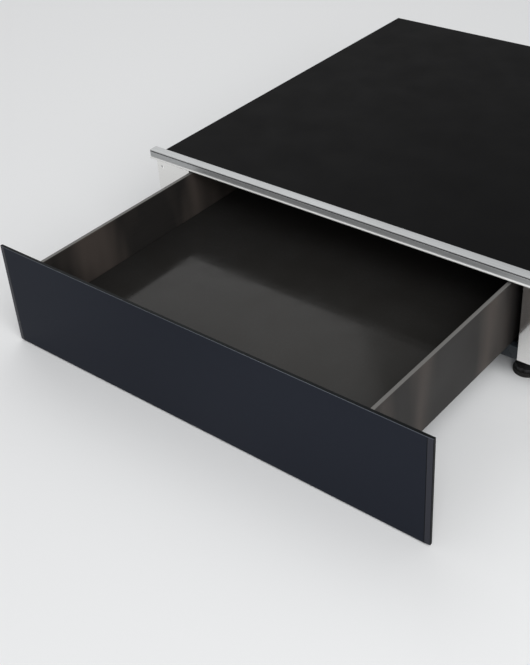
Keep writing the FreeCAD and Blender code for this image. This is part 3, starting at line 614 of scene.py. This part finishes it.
def stepIn(steps, way, width=1.0):  # insets the face again and again, each time moving it along
    for share, rise in steps:
        inset(width * share)
        move(*(Vector(way) * rise))


def scaleRound(axis, factor, centre):  # towards or away from an axis through the centre
    factors = [1 if letter == axis else factor for letter in "XYZ"]
    bpy.ops.transform.resize(value=factors, center_override=centre)


def cut(axis, at):  # a ring of edges all round the piece, square to an axis
    place, way = Vector(), Vector()
    place[axis], way[axis] = at, 1
    selectAll()
    bpy.ops.mesh.bisect(plane_co=place, plane_no=way)


def inRow(across, up, pitch, width):  # for marks that repeat round an axis, pitch and width in degrees
    return math.degrees(math.atan2(up, across)) % pitch < width


def settle(name):  # place, turn and size go into the mesh
    piece = bpy.context.active_object
    piece.name = name
    piece.data.name = name
    bpy.ops.object.transform_apply(location=True, rotation=True, scale=True)
    return piece


def addBlock(name, low, high):
    low, high = Vector(low), Vector(high)
    pick()
    bpy.ops.mesh.primitive_cube_add(size=1, location=(low + high) / 2, scale=high - low)
    return settle(name)


def addRod(name, radius, middle, length, axis, sides=32):
    pick()
    shape = {"radius": radius, "depth": length, "vertices": sides}
    bpy.ops.mesh.primitive_cylinder_add(location=middle, rotation=turnTo[axis], **shape)
    return settle(name)


def applyModifier(piece, kind, **values):
    pick(piece)
    bpy.ops.object.modifier_add(type=kind)
    modifier = piece.modifiers[-1]
    for name, value in values.items():
        setattr(modifier, name, value)
    bpy.ops.object.modifier_apply(modifier=modifier.name)


def cutAway(piece, cutter):
    applyModifier(piece, "BOOLEAN", object=cutter, operation="DIFFERENCE", solver="EXACT")
    bpy.data.objects.remove(cutter)


def softenEdges(piece, width, steps=2, angle=30):
    turn = math.radians(angle)
    applyModifier(piece, "BEVEL", width=width, segments=steps, limit_method="ANGLE", angle_limit=turn)


def smooth(piece, angle=35):
    pick(piece)
    bpy.ops.object.shade_smooth_by_angle(angle=math.radians(angle))


def joined(name, parts):
    pick(*parts)
    if len(parts) > 1:
        bpy.ops.object.join()
    return settle(name)


def copied(piece, place):  # a copy with a mesh of its own, moved
    pick(piece)
    bpy.ops.object.duplicate()
    move(*place)
    return settle(piece.name + "Copy")


def finished(piece, body, slotName, node=None, finish=None):
    if not piece.data.materials:
        piece.data.materials.append(materials[finish or slotName])
    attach(piece, body)
    if node:
        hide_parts(node)


def paintFaces(piece, names, choose):  # choose gives a face its finish
    for name in names:
        piece.data.materials.append(materials[name])
    for face in piece.data.polygons:
        face.material_index = names.index(choose(face))


# front glass

glassSizes = {
    "facetWidth": 0.0062,  # ground facet at each end
    "facetDepth": 0.0006,
    "facetLine": 0.0008,  # dark line where the facet meets the face
    "arris": 0.0004,  # polished corner round the front
    "arrisSteps": 3,
    "flat": 0.9999,  # a normal nearer the front than this is the face itself
    "sloped": 0.97,  # and one nearer than this is a facet
    "edgeOn": 0.1,  # seen from the side
    "atEnd": 0.3,  # turned to an end
}


def makeFrontGlass():
    low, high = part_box("front_glass")
    glass = addBlock("frontGlass", low, high)
    inEdit(glass)
    ridge = high.x - glassSizes["facetWidth"]
    line = ridge - glassSizes["facetLine"]
    for at in (-ridge, ridge, -line, line):
        cut(0, at)
    selectVertices(lambda p: abs(p.x) > high.x - tiny and p.y < low.y + tiny)
    move(0, glassSizes["facetDepth"], 0)
    middle = (low.y + high.y) / 2

    def onRim(a, b):
        atEnd = min(abs(a.x), abs(b.x)) > high.x - tiny
        atTop = min(a.z, b.z) > high.z - tiny
        atFoot = max(a.z, b.z) < low.z + tiny
        return max(a.y, b.y) < middle and (atEnd or atTop or atFoot)

    selectEdges(onRim)
    bpy.ops.mesh.bevel(affect="EDGES", offset=glassSizes["arris"], segments=glassSizes["arrisSteps"])
    outOfEdit()

    def glassFinish(face):
        ahead = -face.normal.y
        if ahead > glassSizes["flat"]:
            return "glassEdge" if abs(face.center.x) > line else "front_glass"
        if ahead > glassSizes["sloped"]:
            return "glassFacet"
        if ahead < -square:
            return "glassBack"
        edge = abs(ahead) < glassSizes["edgeOn"] or abs(face.normal.x) > glassSizes["atEnd"]
        return "glassEdge" if edge else "glassArris"

    paintFaces(glass, ["front_glass", "glassFacet", "glassArris", "glassEdge", "glassBack"], glassFinish)
    finished(glass, "drawer", "front_glass", "front_glass")


# top trim

trimSizes = {
    "sheet": 0.0012,
    "bend": 0.0009,
    "bendSteps": 4,
    "beadRadius": 0.0012,
    "beadSides": 24,
    "beadEnd": 0.0006,  # rounding at the bead's ends
    "beadLead": 0.0003,  # how far the bead stands before the face
    "groove": (0.0011, 0.0013, 0.0006),  # drop below the ledge, width and depth of the joint, whose faces take the dark seal colour as a painted shadow line
}


def makeTopTrim():
    low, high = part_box("top_trim")
    radius = trimSizes["beadRadius"]
    face = low.y + radius + trimSizes["beadLead"]
    trim = addBlock("topTrim", (low.x, face, low.z), (high.x, 0, high.z))
    inEdit(trim)
    selectLooking(0, 1, 0)
    bpy.ops.mesh.delete(type="FACE")
    selectEdges(lambda a, b: max(a.y, b.y) < face + tiny)
    bpy.ops.mesh.bevel(affect="EDGES", offset=trimSizes["bend"], segments=trimSizes["bendSteps"])
    outOfEdit()
    applyModifier(trim, "SOLIDIFY", thickness=trimSizes["sheet"], offset=-1.0)
    inEdit(trim)
    selectFaces(lambda c, n: n.y > square and c.z > high.z - trimSizes["sheet"] and c.y > -tiny)
    extrude(0, high.y, 0)
    drop, width, depth = trimSizes["groove"]
    cut(2, high.z - drop)
    cut(2, high.z - drop - width)
    line = high.z - drop - width / 2
    selectFaces(lambda c, n: n.y < -square and c.y < face + tiny and abs(c.z - line) < width / 2)
    extrude(0, depth, 0)
    outOfEdit()

    # the joint's faces take the dark seal finish: a painted shadow line along the groove
    def trimFinish(spot):
        place = spot.center
        inGroove = abs(place.z - line) < width / 2 + tiny and face < place.y - tiny < face + depth
        return "seal_silicone" if inGroove else "trim_steel"

    paintFaces(trim, ["trim_steel", "seal_silicone"], trimFinish)
    smooth(trim)
    finished(trim, "housing", "trim_steel", "top_trim")
    place = (0, face - trimSizes["beadLead"], low.z + radius)
    bead = addRod("trimBead", radius, place, high.x - low.x, "X", trimSizes["beadSides"])
    softenEdges(bead, trimSizes["beadEnd"], steps=3)
    smooth(bead)
    finished(bead, "housing", "trim_steel", finish="polishedBead")


makeFrontGlass()
makeTopTrim()
print("front glass and trim modelled")


# rubber bumpers behind the glass

bumperSizes = {
    "radius": 0.005,
    "sides": 40,
    "foot": 0.0024,  # thickness of the wider stuck-on base
    "waist": 0.0042,  # radius of the post above it
    "dome": 0.0016,
    "domeSteps": ((0.132, 0.6), (0.21, 0.3), (0.3, 0.1)),  # shares of the waist and of the dome
    "corner": 0.0003,
}


def makeBumpers():
    low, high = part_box("front_bumpers")
    radius, foot, waist, dome = (bumperSizes[k] for k in ("radius", "foot", "waist", "dome"))
    posts = []
    for x in (low.x + radius, high.x - radius):
        for z in (low.z + radius, high.z - radius):
            post = addRod("bumper", radius, (x, low.y + foot / 2, z), foot, "Y", bumperSizes["sides"])
            inEdit(post)
            selectLooking(0, 1, 0)
            inset(radius - waist)
            extrude(0, high.y - low.y - foot - dome, 0)
            stepIn(bumperSizes["domeSteps"], (0, dome, 0), waist)
            outOfEdit()
            softenEdges(post, bumperSizes["corner"], angle=40)
            smooth(post, angle=50)
            posts.append(post)
    finished(joined("frontBumpers", posts), "drawer", "pad_rubber", "front_bumpers")


# temperature knob and its dial

knobSizes = {
    "sides": 144,
    "skirt": 0.003,  # depth of the wide ring behind the grip
    "grip": 0.0093,
    "taper": 0.965,  # size of the grip's front against its back
    "pitch": 20.0,  # degrees from one finger groove to the next
    "groove": 8.0,
    "grooveDepth": 0.0003,
    "rim": 0.0009,  # rounded front corner
    "rimSlope": 0.7,  # share of the rim that the straight part takes
    "ring": 0.0012,  # flat ring round the dish
    "dishSlope": 0.0008,
    "dish": 0.0005,
    "corner": 0.00012,
    "pointer": (0.0011, 0.0062, 0.0009),  # width, length and depth of the white line
    "pointerInset": 0.0022,  # from the grip's edge
    "pointerRise": 0.0005,
    "pointerCorner": 0.00025,
}

dialSizes = {
    "marks": ("0", "30", "40", "50", "60", "70", "80"),
    "sweep": 270.0,  # degrees between the first mark and the last
    "ringRadius": 0.0128,
    "tick": (0.0004, 0.0014),
    "textRadius": 0.0163,
    "textSize": 0.0033,
    "height": 0.00006,  # thickness of the printed ink
}


def makeKnob():
    low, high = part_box("temperature_knob")
    x, z = (low.x + high.x) / 2, (low.z + high.z) / 2
    grip, skirt, rim, rise = (knobSizes[k] for k in ("grip", "skirt", "rim", "pointerRise"))
    radius = (high.x - low.x) / 2
    knob = addRod("temperatureKnob", radius, (x, high.y - skirt / 2, z), skirt, "Y", knobSizes["sides"])
    inEdit(knob)
    selectLooking(0, -1, 0)
    inset(radius - grip)
    extrude(0, rim - (high.y - skirt - low.y - rise), 0)
    extrude(0, -rim * knobSizes["rimSlope"], 0)
    scaleRound("Y", knobSizes["taper"], (x, 0, z))
    last = rim * (1 - knobSizes["rimSlope"])
    stepIn(((rim, -last), (knobSizes["ring"], 0), (knobSizes["dishSlope"], knobSizes["dish"])), (0, 1, 0))

    def inGroove(p):
        onGrip = abs(math.hypot(p.x - x, p.z - z) - grip) < tiny
        return onGrip and inRow(p.x - x, p.z - z, knobSizes["pitch"], knobSizes["groove"])

    selectVertices(inGroove)
    scaleRound("Y", 1 - knobSizes["grooveDepth"] / grip, (x, 0, z))
    outOfEdit()
    softenEdges(knob, knobSizes["corner"], angle=32)
    smooth(knob, angle=30)
    finished(knob, "knob", "control_plastic", "temperature_knob")
    width, length, depth = knobSizes["pointer"]
    half, face = width / 2, low.y + rise
    base = z + grip - knobSizes["pointerInset"] - length
    line = addBlock("knobPointer", (x - half, face, base), (x + half, face + depth, base + length))
    softenEdges(line, knobSizes["pointerCorner"], steps=3)
    finished(line, "knob", "control_plastic", finish="pointerPaint")


def makeDial():
    low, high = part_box("temperature_knob")
    centre = Vector(((low.x + high.x) / 2, 0, (low.z + high.z) / 2))
    height = dialSizes["height"]
    width, length = dialSizes["tick"]
    parts = []
    for index, mark in enumerate(dialSizes["marks"]):
        turn = math.radians(dialSizes["sweep"] * index / (len(dialSizes["marks"]) - 1))
        out = Vector((math.sin(turn), 0, math.cos(turn)))
        bpy.ops.mesh.primitive_cube_add(size=1, scale=(width, height, length))
        tick = settle("dialTick")
        inEdit(tick)
        selectAll()
        bpy.ops.transform.rotate(value=-turn, orient_axis="Y", center_override=(0, 0, 0))
        move(*(centre + Vector((0, -height / 2, 0)) + out * dialSizes["ringRadius"]))
        outOfEdit()
        bpy.ops.object.text_add(location=centre + out * dialSizes["textRadius"], rotation=turnTo["Y"])
        label = bpy.context.active_object
        label.data.body = mark
        label.data.size = dialSizes["textSize"]
        label.data.align_x = "CENTER"
        label.data.align_y = "CENTER"
        label.data.extrude = height
        bpy.ops.object.convert(target="MESH")
        number = settle("dialNumber")
        inEdit(number)
        selectAll()
        bpy.ops.mesh.remove_doubles(threshold=tiny / 5)
        bpy.ops.mesh.dissolve_degenerate(threshold=tiny / 5)
        bpy.ops.mesh.normals_make_consistent(inside=False)
        outOfEdit()
        parts += [tick, number]
    finished(joined("dialMarks", parts), "housing", "control_plastic", finish="dialPrint")


# lamp beside the knob

lensSizes = {
    "radius": 0.003,
    "sides": 40,
    "domeSteps": ((0.12, 0.0007), (0.16, 0.0005), (0.25, 0.0004), (0.3, 0.0002)),  # share of radius, rise
    "collar": 0.002,
    "bezel": (0.0036, 0.0005, -0.0002),  # radius, thickness and place on the flange
    "bezelSides": (48, 12),
}


def makeLens():
    low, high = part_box("indicator_lens")
    middle = (low + high) / 2
    radius, sides, steps = (lensSizes[k] for k in ("radius", "sides", "domeSteps"))
    dome = sum(rise for share, rise in steps)
    place = (middle.x, middle.y + dome / 2, middle.z)
    stem = addRod("lensStem", radius, place, high.y - low.y - dome, "Y", sides)
    inEdit(stem)
    selectLooking(0, -1, 0)
    stepIn(steps, (0, -1, 0), radius)
    outOfEdit()
    place = (middle.x, high.y - lensSizes["collar"] / 2, middle.z)
    collar = addRod("lensCollar", (high.x - low.x) / 2, place, lensSizes["collar"], "Y", sides)
    lens = joined("indicatorLens", [stem, collar])
    smooth(lens, angle=40)
    finished(lens, "housing", "lens", "indicator_lens")
    ring, wire, y = lensSizes["bezel"]
    around, across = lensSizes["bezelSides"]
    place = (middle.x, y, middle.z)
    shape = {"major_radius": ring, "minor_radius": wire, "major_segments": around, "minor_segments": across}
    bpy.ops.mesh.primitive_torus_add(location=place, rotation=turnTo["Y"], **shape)
    bezel = settle("lensBezel")
    smooth(bezel, angle=60)
    finished(bezel, "housing", "screw_steel")


makeBumpers()
makeKnob()
makeDial()
makeLens()
print("bumpers, knob and lamp modelled")


# screws with a cross recess

screwSizes = {
    "sides": 28,
    "shankSides": 20,
    "rim": 0.6,  # share of the head's height that is straight
    "domeSteps": ((0.14, 0.2), (0.2, 0.13), (0.25, 0.07)),  # shares of the head's radius and height
    "recessWidth": 0.0007,
    "recessReach": 0.56,  # share of the head's radius
    "recessDepth": 0.001,
    "point": 0.35,  # share of the shank's radius
    "tall": 0.005,  # a drawer screw taller than this lies on its side
}

screwKinds = {  # head radius and height, shank radius and length
    "motorScrew": (0.003, 0.002, 0.0016, 0.006),
    "railBolt": (0.0035, 0.0014, 0.0019, 0.0065),
    "housingScrew": (0.003, 0.002, 0.0016, 0.007),
    "trayScrew": (0.003, 0.002, 0.0016, 0.004),
    "railScrew": (0.003, 0.0012, 0.0016, 0.0027),
}


def makeScrew(kind):  # its head looks up and its seat is at 0
    radius, height, shankRadius, length = screwKinds[kind]
    rim = height * screwSizes["rim"]
    head = addRod(kind, radius, (0, 0, rim / 2), rim, "Z", screwSizes["sides"])
    inEdit(head)
    selectLooking(0, 0, 1)
    stepIn(screwSizes["domeSteps"], (0, 0, height), radius)
    outOfEdit()
    reach, half = radius * screwSizes["recessReach"], screwSizes["recessWidth"] / 2
    bottom, top = height - screwSizes["recessDepth"], height + screwSizes["recessDepth"]
    for x, y in ((reach, half), (half, reach)):
        cutAway(head, addBlock("recess", (-x, -y, bottom), (x, y, top)))
    shank = addRod("shank", shankRadius, (0, 0, -length / 2), length, "Z", screwSizes["shankSides"])
    inEdit(shank)
    selectLooking(0, 0, -1)
    inset(shankRadius * screwSizes["point"])
    outOfEdit()
    screw = joined(kind, [head, shank])
    smooth(screw, angle=30)
    return screw


def solidsOf(node):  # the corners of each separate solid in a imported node
    shape = bmesh.new()
    shape.from_mesh(nodes[node].data)
    bmesh.ops.remove_doubles(shape, verts=shape.verts, dist=tiny)
    left, found = set(shape.verts), []
    while left:
        todo, island = [left.pop()], []
        while todo:
            vertex = todo.pop()
            island.append(vertex.co.copy())
            others = [edge.other_vert(vertex) for edge in vertex.link_edges]
            todo += [other for other in others if other in left]
            left.difference_update(others)
        found.append([Vector([end(p[k] for p in island) for k in range(3)]) for end in (min, max)])
    shape.free()
    return sorted(found, key=lambda ends: tuple(ends[0]))


def makeScrews(name, body, node, kindOf):  # kindOf gives a solid's kind of screw and where its head looks
    places = {kind: [] for kind in screwKinds}
    for low, high in solidsOf(node):
        middle, half = (low + high) / 2, (high - low) / 2
        kind, looks = kindOf(middle, high - low)
        looks = Vector(looks)
        seat = middle + looks * (abs(half.dot(looks)) - screwKinds[kind][1])
        places[kind].append(Matrix.Translation(seat) @ looks.to_track_quat("Z", "Y").to_matrix().to_4x4())
    parts = []
    for kind in screwKinds:
        if places[kind]:
            screw = makeScrew(kind)
            for place in places[kind]:
                copy = copied(screw, (0, 0, 0))
                copy.matrix_world = place
                parts.append(settle(kind))
            bpy.data.objects.remove(screw)
    finished(joined(name, parts), body, "screw_steel", node)


def machineKind(middle, size):  # the fan motor's, and the runner rails' below them
    aboveRails = middle.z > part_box("runner_rail_left")[1].z
    return ("motorScrew", (0, 1, 0)) if aboveRails else ("railBolt", (0, 0, 1))


def housingKind(middle, size):  # at the back or at a side
    atBack = size.y > max(size.x, size.z)
    return "housingScrew", (0, 1, 0) if atBack else (math.copysign(1, middle.x), 0, 0)


def drawerKind(middle, size):  # through a wall into the tray, or flat on a runner
    inWall = size.z > screwSizes["tall"]
    return ("trayScrew", (-math.copysign(1, middle.x), 0, 0)) if inWall else ("railScrew", (0, 0, 1))


makeScrews("housingScrews", "housing", "housing_screws", housingKind)
makeScrews("drawerScrews", "drawer", "drawer_screws", drawerKind)
makeScrews("machineScrews", "housing", "machine_screws", machineKind)
print("screws modelled")


# return spring of the push latch

springSizes = {
    "wire": 0.0004,  # radius of the wire
    "wireSides": 10,
    "turns": 8.6,
    "stepsPerTurn": 18,
    "travel": 0.0035,  # how far the plunger shortens it
}


def makeLatchSpring():
    low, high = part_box("latch_spring")
    wire = springSizes["wire"]
    start = ((low.x + high.x) / 2, low.y + wire, (low.z + high.z) / 2)
    pick()
    bpy.ops.mesh.primitive_circle_add(radius=wire, vertices=springSizes["wireSides"], location=start)
    coil = bpy.context.active_object
    inEdit(coil)
    selectAll()
    move((high.x - low.x) / 2 - wire, 0, 0)
    outOfEdit()
    steps = round(springSizes["turns"] * springSizes["stepsPerTurn"])
    applyModifier(coil, "SCREW", axis="Y", angle=math.tau * springSizes["turns"], steps=steps,
                  render_steps=steps, screw_offset=high.y - low.y - 2 * wire)
    coil = settle("latchSpring")
    inEdit(coil)
    selectAll()
    bpy.ops.mesh.fill_holes(sides=0)
    bpy.ops.mesh.normals_make_consistent(inside=False)
    outOfEdit()
    smooth(coil, angle=50)
    finished(coil, "housing", "screw_steel", "latch_spring")
    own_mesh(coil)


makeLatchSpring()
print("latch spring modelled")


# levelling feet and their pads

footSizes = {
    "discRadius": 0.014,
    "discHeight": 0.005,
    "discSides": 96,
    "corner": 0.0004,
    "bossHeight": 0.0014,
    "bossRadii": (0.0108, 0.007),  # at the disc and at the post
    "bossSides": 48,
    "postRadius": 0.0055,  # at the root of its thread
    "postFoot": 0.0004,
    "notches": 8,  # for a finger or a flat tool
    "notchShare": 0.3,
    "notchDepth": 0.0014,
    "threadPitch": 0.0015,
    "threadRise": 1.09,  # radius of a crest against the root
    "nutRadius": 0.0085,
    "nutHeight": 0.005,
    "nutGap": 0.0006,
    "nutCorner": 0.0006,
    "padRadius": 0.016,
    "padSides": 56,
    "padSteps": ((0.003, 0), (0.0012, 0.0008)),  # flat ring, then the hollow in the underside
    "padCorner": 0.0008,
}


def makeFoot(top, seat):  # a foot at the origin, its disc on the pad
    radius, height = footSizes["discRadius"], footSizes["discHeight"]
    disc = addRod("footDisc", radius, (0, 0, seat + height / 2), height, "Z", footSizes["discSides"])
    inEdit(disc)
    turnStep = 360 / footSizes["notches"]
    selectVertices(lambda p: inRow(p.x, p.y, turnStep, turnStep * footSizes["notchShare"]))
    scaleRound("Z", 1 - footSizes["notchDepth"] / radius, (0, 0, 0))
    outOfEdit()
    softenEdges(disc, footSizes["corner"])
    pick()
    start, rise = seat + height, footSizes["bossHeight"]
    wide, narrow = footSizes["bossRadii"]
    cone = {"radius1": wide, "radius2": narrow, "depth": rise, "vertices": footSizes["bossSides"]}
    bpy.ops.mesh.primitive_cone_add(location=(0, 0, start + rise / 2 - tiny), **cone)
    boss = settle("footBoss")
    softenEdges(boss, footSizes["corner"])
    post = addRod("footPost", footSizes["postRadius"], (0, 0, start), footSizes["postFoot"], "Z")
    inEdit(post)
    selectLooking(0, 0, 1)
    turns = int((top - start) / footSizes["threadPitch"])
    for index in range(turns * 2):
        extrude(0, 0, (top - start) / turns / 2)
        scaleRound("Z", footSizes["threadRise"] ** (-1) ** index, (0, 0, 0))
    outOfEdit()
    place = (0, 0, top - footSizes["nutHeight"] / 2 - footSizes["nutGap"])
    nut = addRod("footNut", footSizes["nutRadius"], place, footSizes["nutHeight"], "Z", sides=6)
    softenEdges(nut, footSizes["nutCorner"], angle=40)
    foot = joined("foot", [disc, boss, post, nut])
    smooth(foot, angle=30)
    return foot


def makeFeet():
    low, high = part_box("levelling_feet")
    radius = footSizes["discRadius"]
    places = [(x, y) for x in (low.x + radius, high.x - radius) for y in (low.y + radius, high.y - radius)]
    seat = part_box("foot_pads")[1].z
    foot = makeFoot(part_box("base_plate")[0].z, seat)
    feet = [copied(foot, (x, y, 0)) for x, y in places]
    bpy.data.objects.remove(foot)
    finished(joined("levellingFeet", feet), "housing", "feet_plastic", "levelling_feet")
    pads = []
    for x, y in places:
        pad = addRod("footPad", footSizes["padRadius"], (x, y, seat / 2), seat, "Z", footSizes["padSides"])
        inEdit(pad)
        selectLooking(0, 0, -1)
        stepIn(footSizes["padSteps"], (0, 0, 1))
        outOfEdit()
        softenEdges(pad, footSizes["padCorner"], steps=3, angle=40)
        smooth(pad)
        pads.append(pad)
    finished(joined("footPads", pads), "housing", "pad_rubber", "foot_pads")


# mains gland, with no lead in it

glandSizes = {
    "radius": 0.009,
    "sides": 96,
    "bore": 0.004,
    "boreSides": 40,
    "capSteps": ((0.0008, 0.0022), (0.0016, 0.0013), (0.001, 0.0005)),  # how far in and how far out
    "nutReach": 0.0125,
    "nutDepth": 0.006,
    "nutCorner": 0.0008,
    "ribs": 16,
    "ribGap": 0.4,  # share of the step from rib to rib
    "ribDepth": 0.0005,
    "drillLength": 0.06,
}


def makeGland():
    low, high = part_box("mains_gland")
    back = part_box("rear_panel")[1].y
    x, y, z = (low.x + high.x) / 2, (low.y + high.y) / 2, (low.z + high.z) / 2
    radius, deep, steps = (glandSizes[k] for k in ("radius", "nutDepth", "capSteps"))
    body = addRod("mainsGland", radius, (x, (low.y + back) / 2, z), back - low.y, "Y", glandSizes["sides"])
    inEdit(body)
    selectLooking(0, 1, 0)
    extrude(0, high.y - back - sum(rise for width, rise in steps), 0)
    stepIn(steps, (0, 1, 0))
    turnStep = 360 / glandSizes["ribs"]

    def inGroove(p):
        onCap = p.y > back - tiny and abs(math.hypot(p.x - x, p.z - z) - radius) < tiny
        return onCap and inRow(p.x - x, p.z - z, turnStep, turnStep * glandSizes["ribGap"])

    selectVertices(inGroove)
    scaleRound("Y", 1 - glandSizes["ribDepth"] / radius, (x, 0, z))
    outOfEdit()
    nut = addRod("glandNut", glandSizes["nutReach"], (x, back + deep / 2, z), deep, "Y", sides=6)
    inEdit(nut)
    selectAll()
    bpy.ops.transform.rotate(value=math.pi / 6, orient_axis="Y", center_override=(x, 0, z))
    outOfEdit()
    softenEdges(nut, glandSizes["nutCorner"], steps=3, angle=40)
    for part in (body, nut):
        bore, length, sides = (glandSizes[k] for k in ("bore", "drillLength", "boreSides"))
        cutAway(part, addRod("drill", bore, (x, y, z), length, "Y", sides))
    gland = joined("mainsGland", [body, nut])
    smooth(gland, angle=30)
    finished(gland, "housing", "feet_plastic", "mains_gland")


makeFeet()
makeGland()
print("feet and gland modelled")


# quilted heat mat under the cover

matSizes = {
    "cells": (7, 6),  # quilted squares across and from front to back
    "seamDepth": 0.0013,  # twice as deep where two seams cross
    "crown": 0.35,  # lower is a flatter square with a sharper seam
    "cuts": (0.0, 0.02, 0.06, 0.14, 0.28, 0.5, 0.72, 0.86, 0.94, 0.98),  # over each square
    "edge": 0.5,  # share of a square that stays plain all round
    "corner": 0.012,
    "cornerSteps": 4,
    "rim": 0.0012,
}


def makeHeatMat():
    low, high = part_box("insulation_pad")
    mat = addBlock("heatMat", low, high)
    inEdit(mat)
    selectEdges(lambda a, b: abs(a.z - b.z) > tiny)
    bpy.ops.mesh.bevel(affect="EDGES", offset=matSizes["corner"], segments=matSizes["cornerSteps"])
    outOfEdit()
    softenEdges(mat, matSizes["rim"], steps=3, angle=60)
    inEdit(mat)
    cuts = []  # axis, place and how far the quilt dips there
    for axis, count in enumerate(matSizes["cells"]):
        step = (high[axis] - low[axis]) / count
        for cell in range(count):
            for share in matSizes["cuts"]:
                if matSizes["edge"] <= cell + share <= count - matSizes["edge"]:
                    dip = matSizes["seamDepth"] * (1 - math.sin(math.pi * share) ** matSizes["crown"])
                    cuts.append((axis, low[axis] + step * (cell + share), dip))
    for axis, at, dip in cuts:
        cut(axis, at)
    middle = (low.z + high.z) / 2
    for side in (-1, 1):
        for axis, at, dip in cuts:
            selectVertices(lambda p: abs(p[axis] - at) < tiny and (p.z - middle) * side > tiny)
            move(0, 0, -side * dip)
    outOfEdit()
    smooth(mat, angle=60)
    finished(mat, "housing", "insulation", "insulation_pad")


makeHeatMat()
print("heat mat modelled")
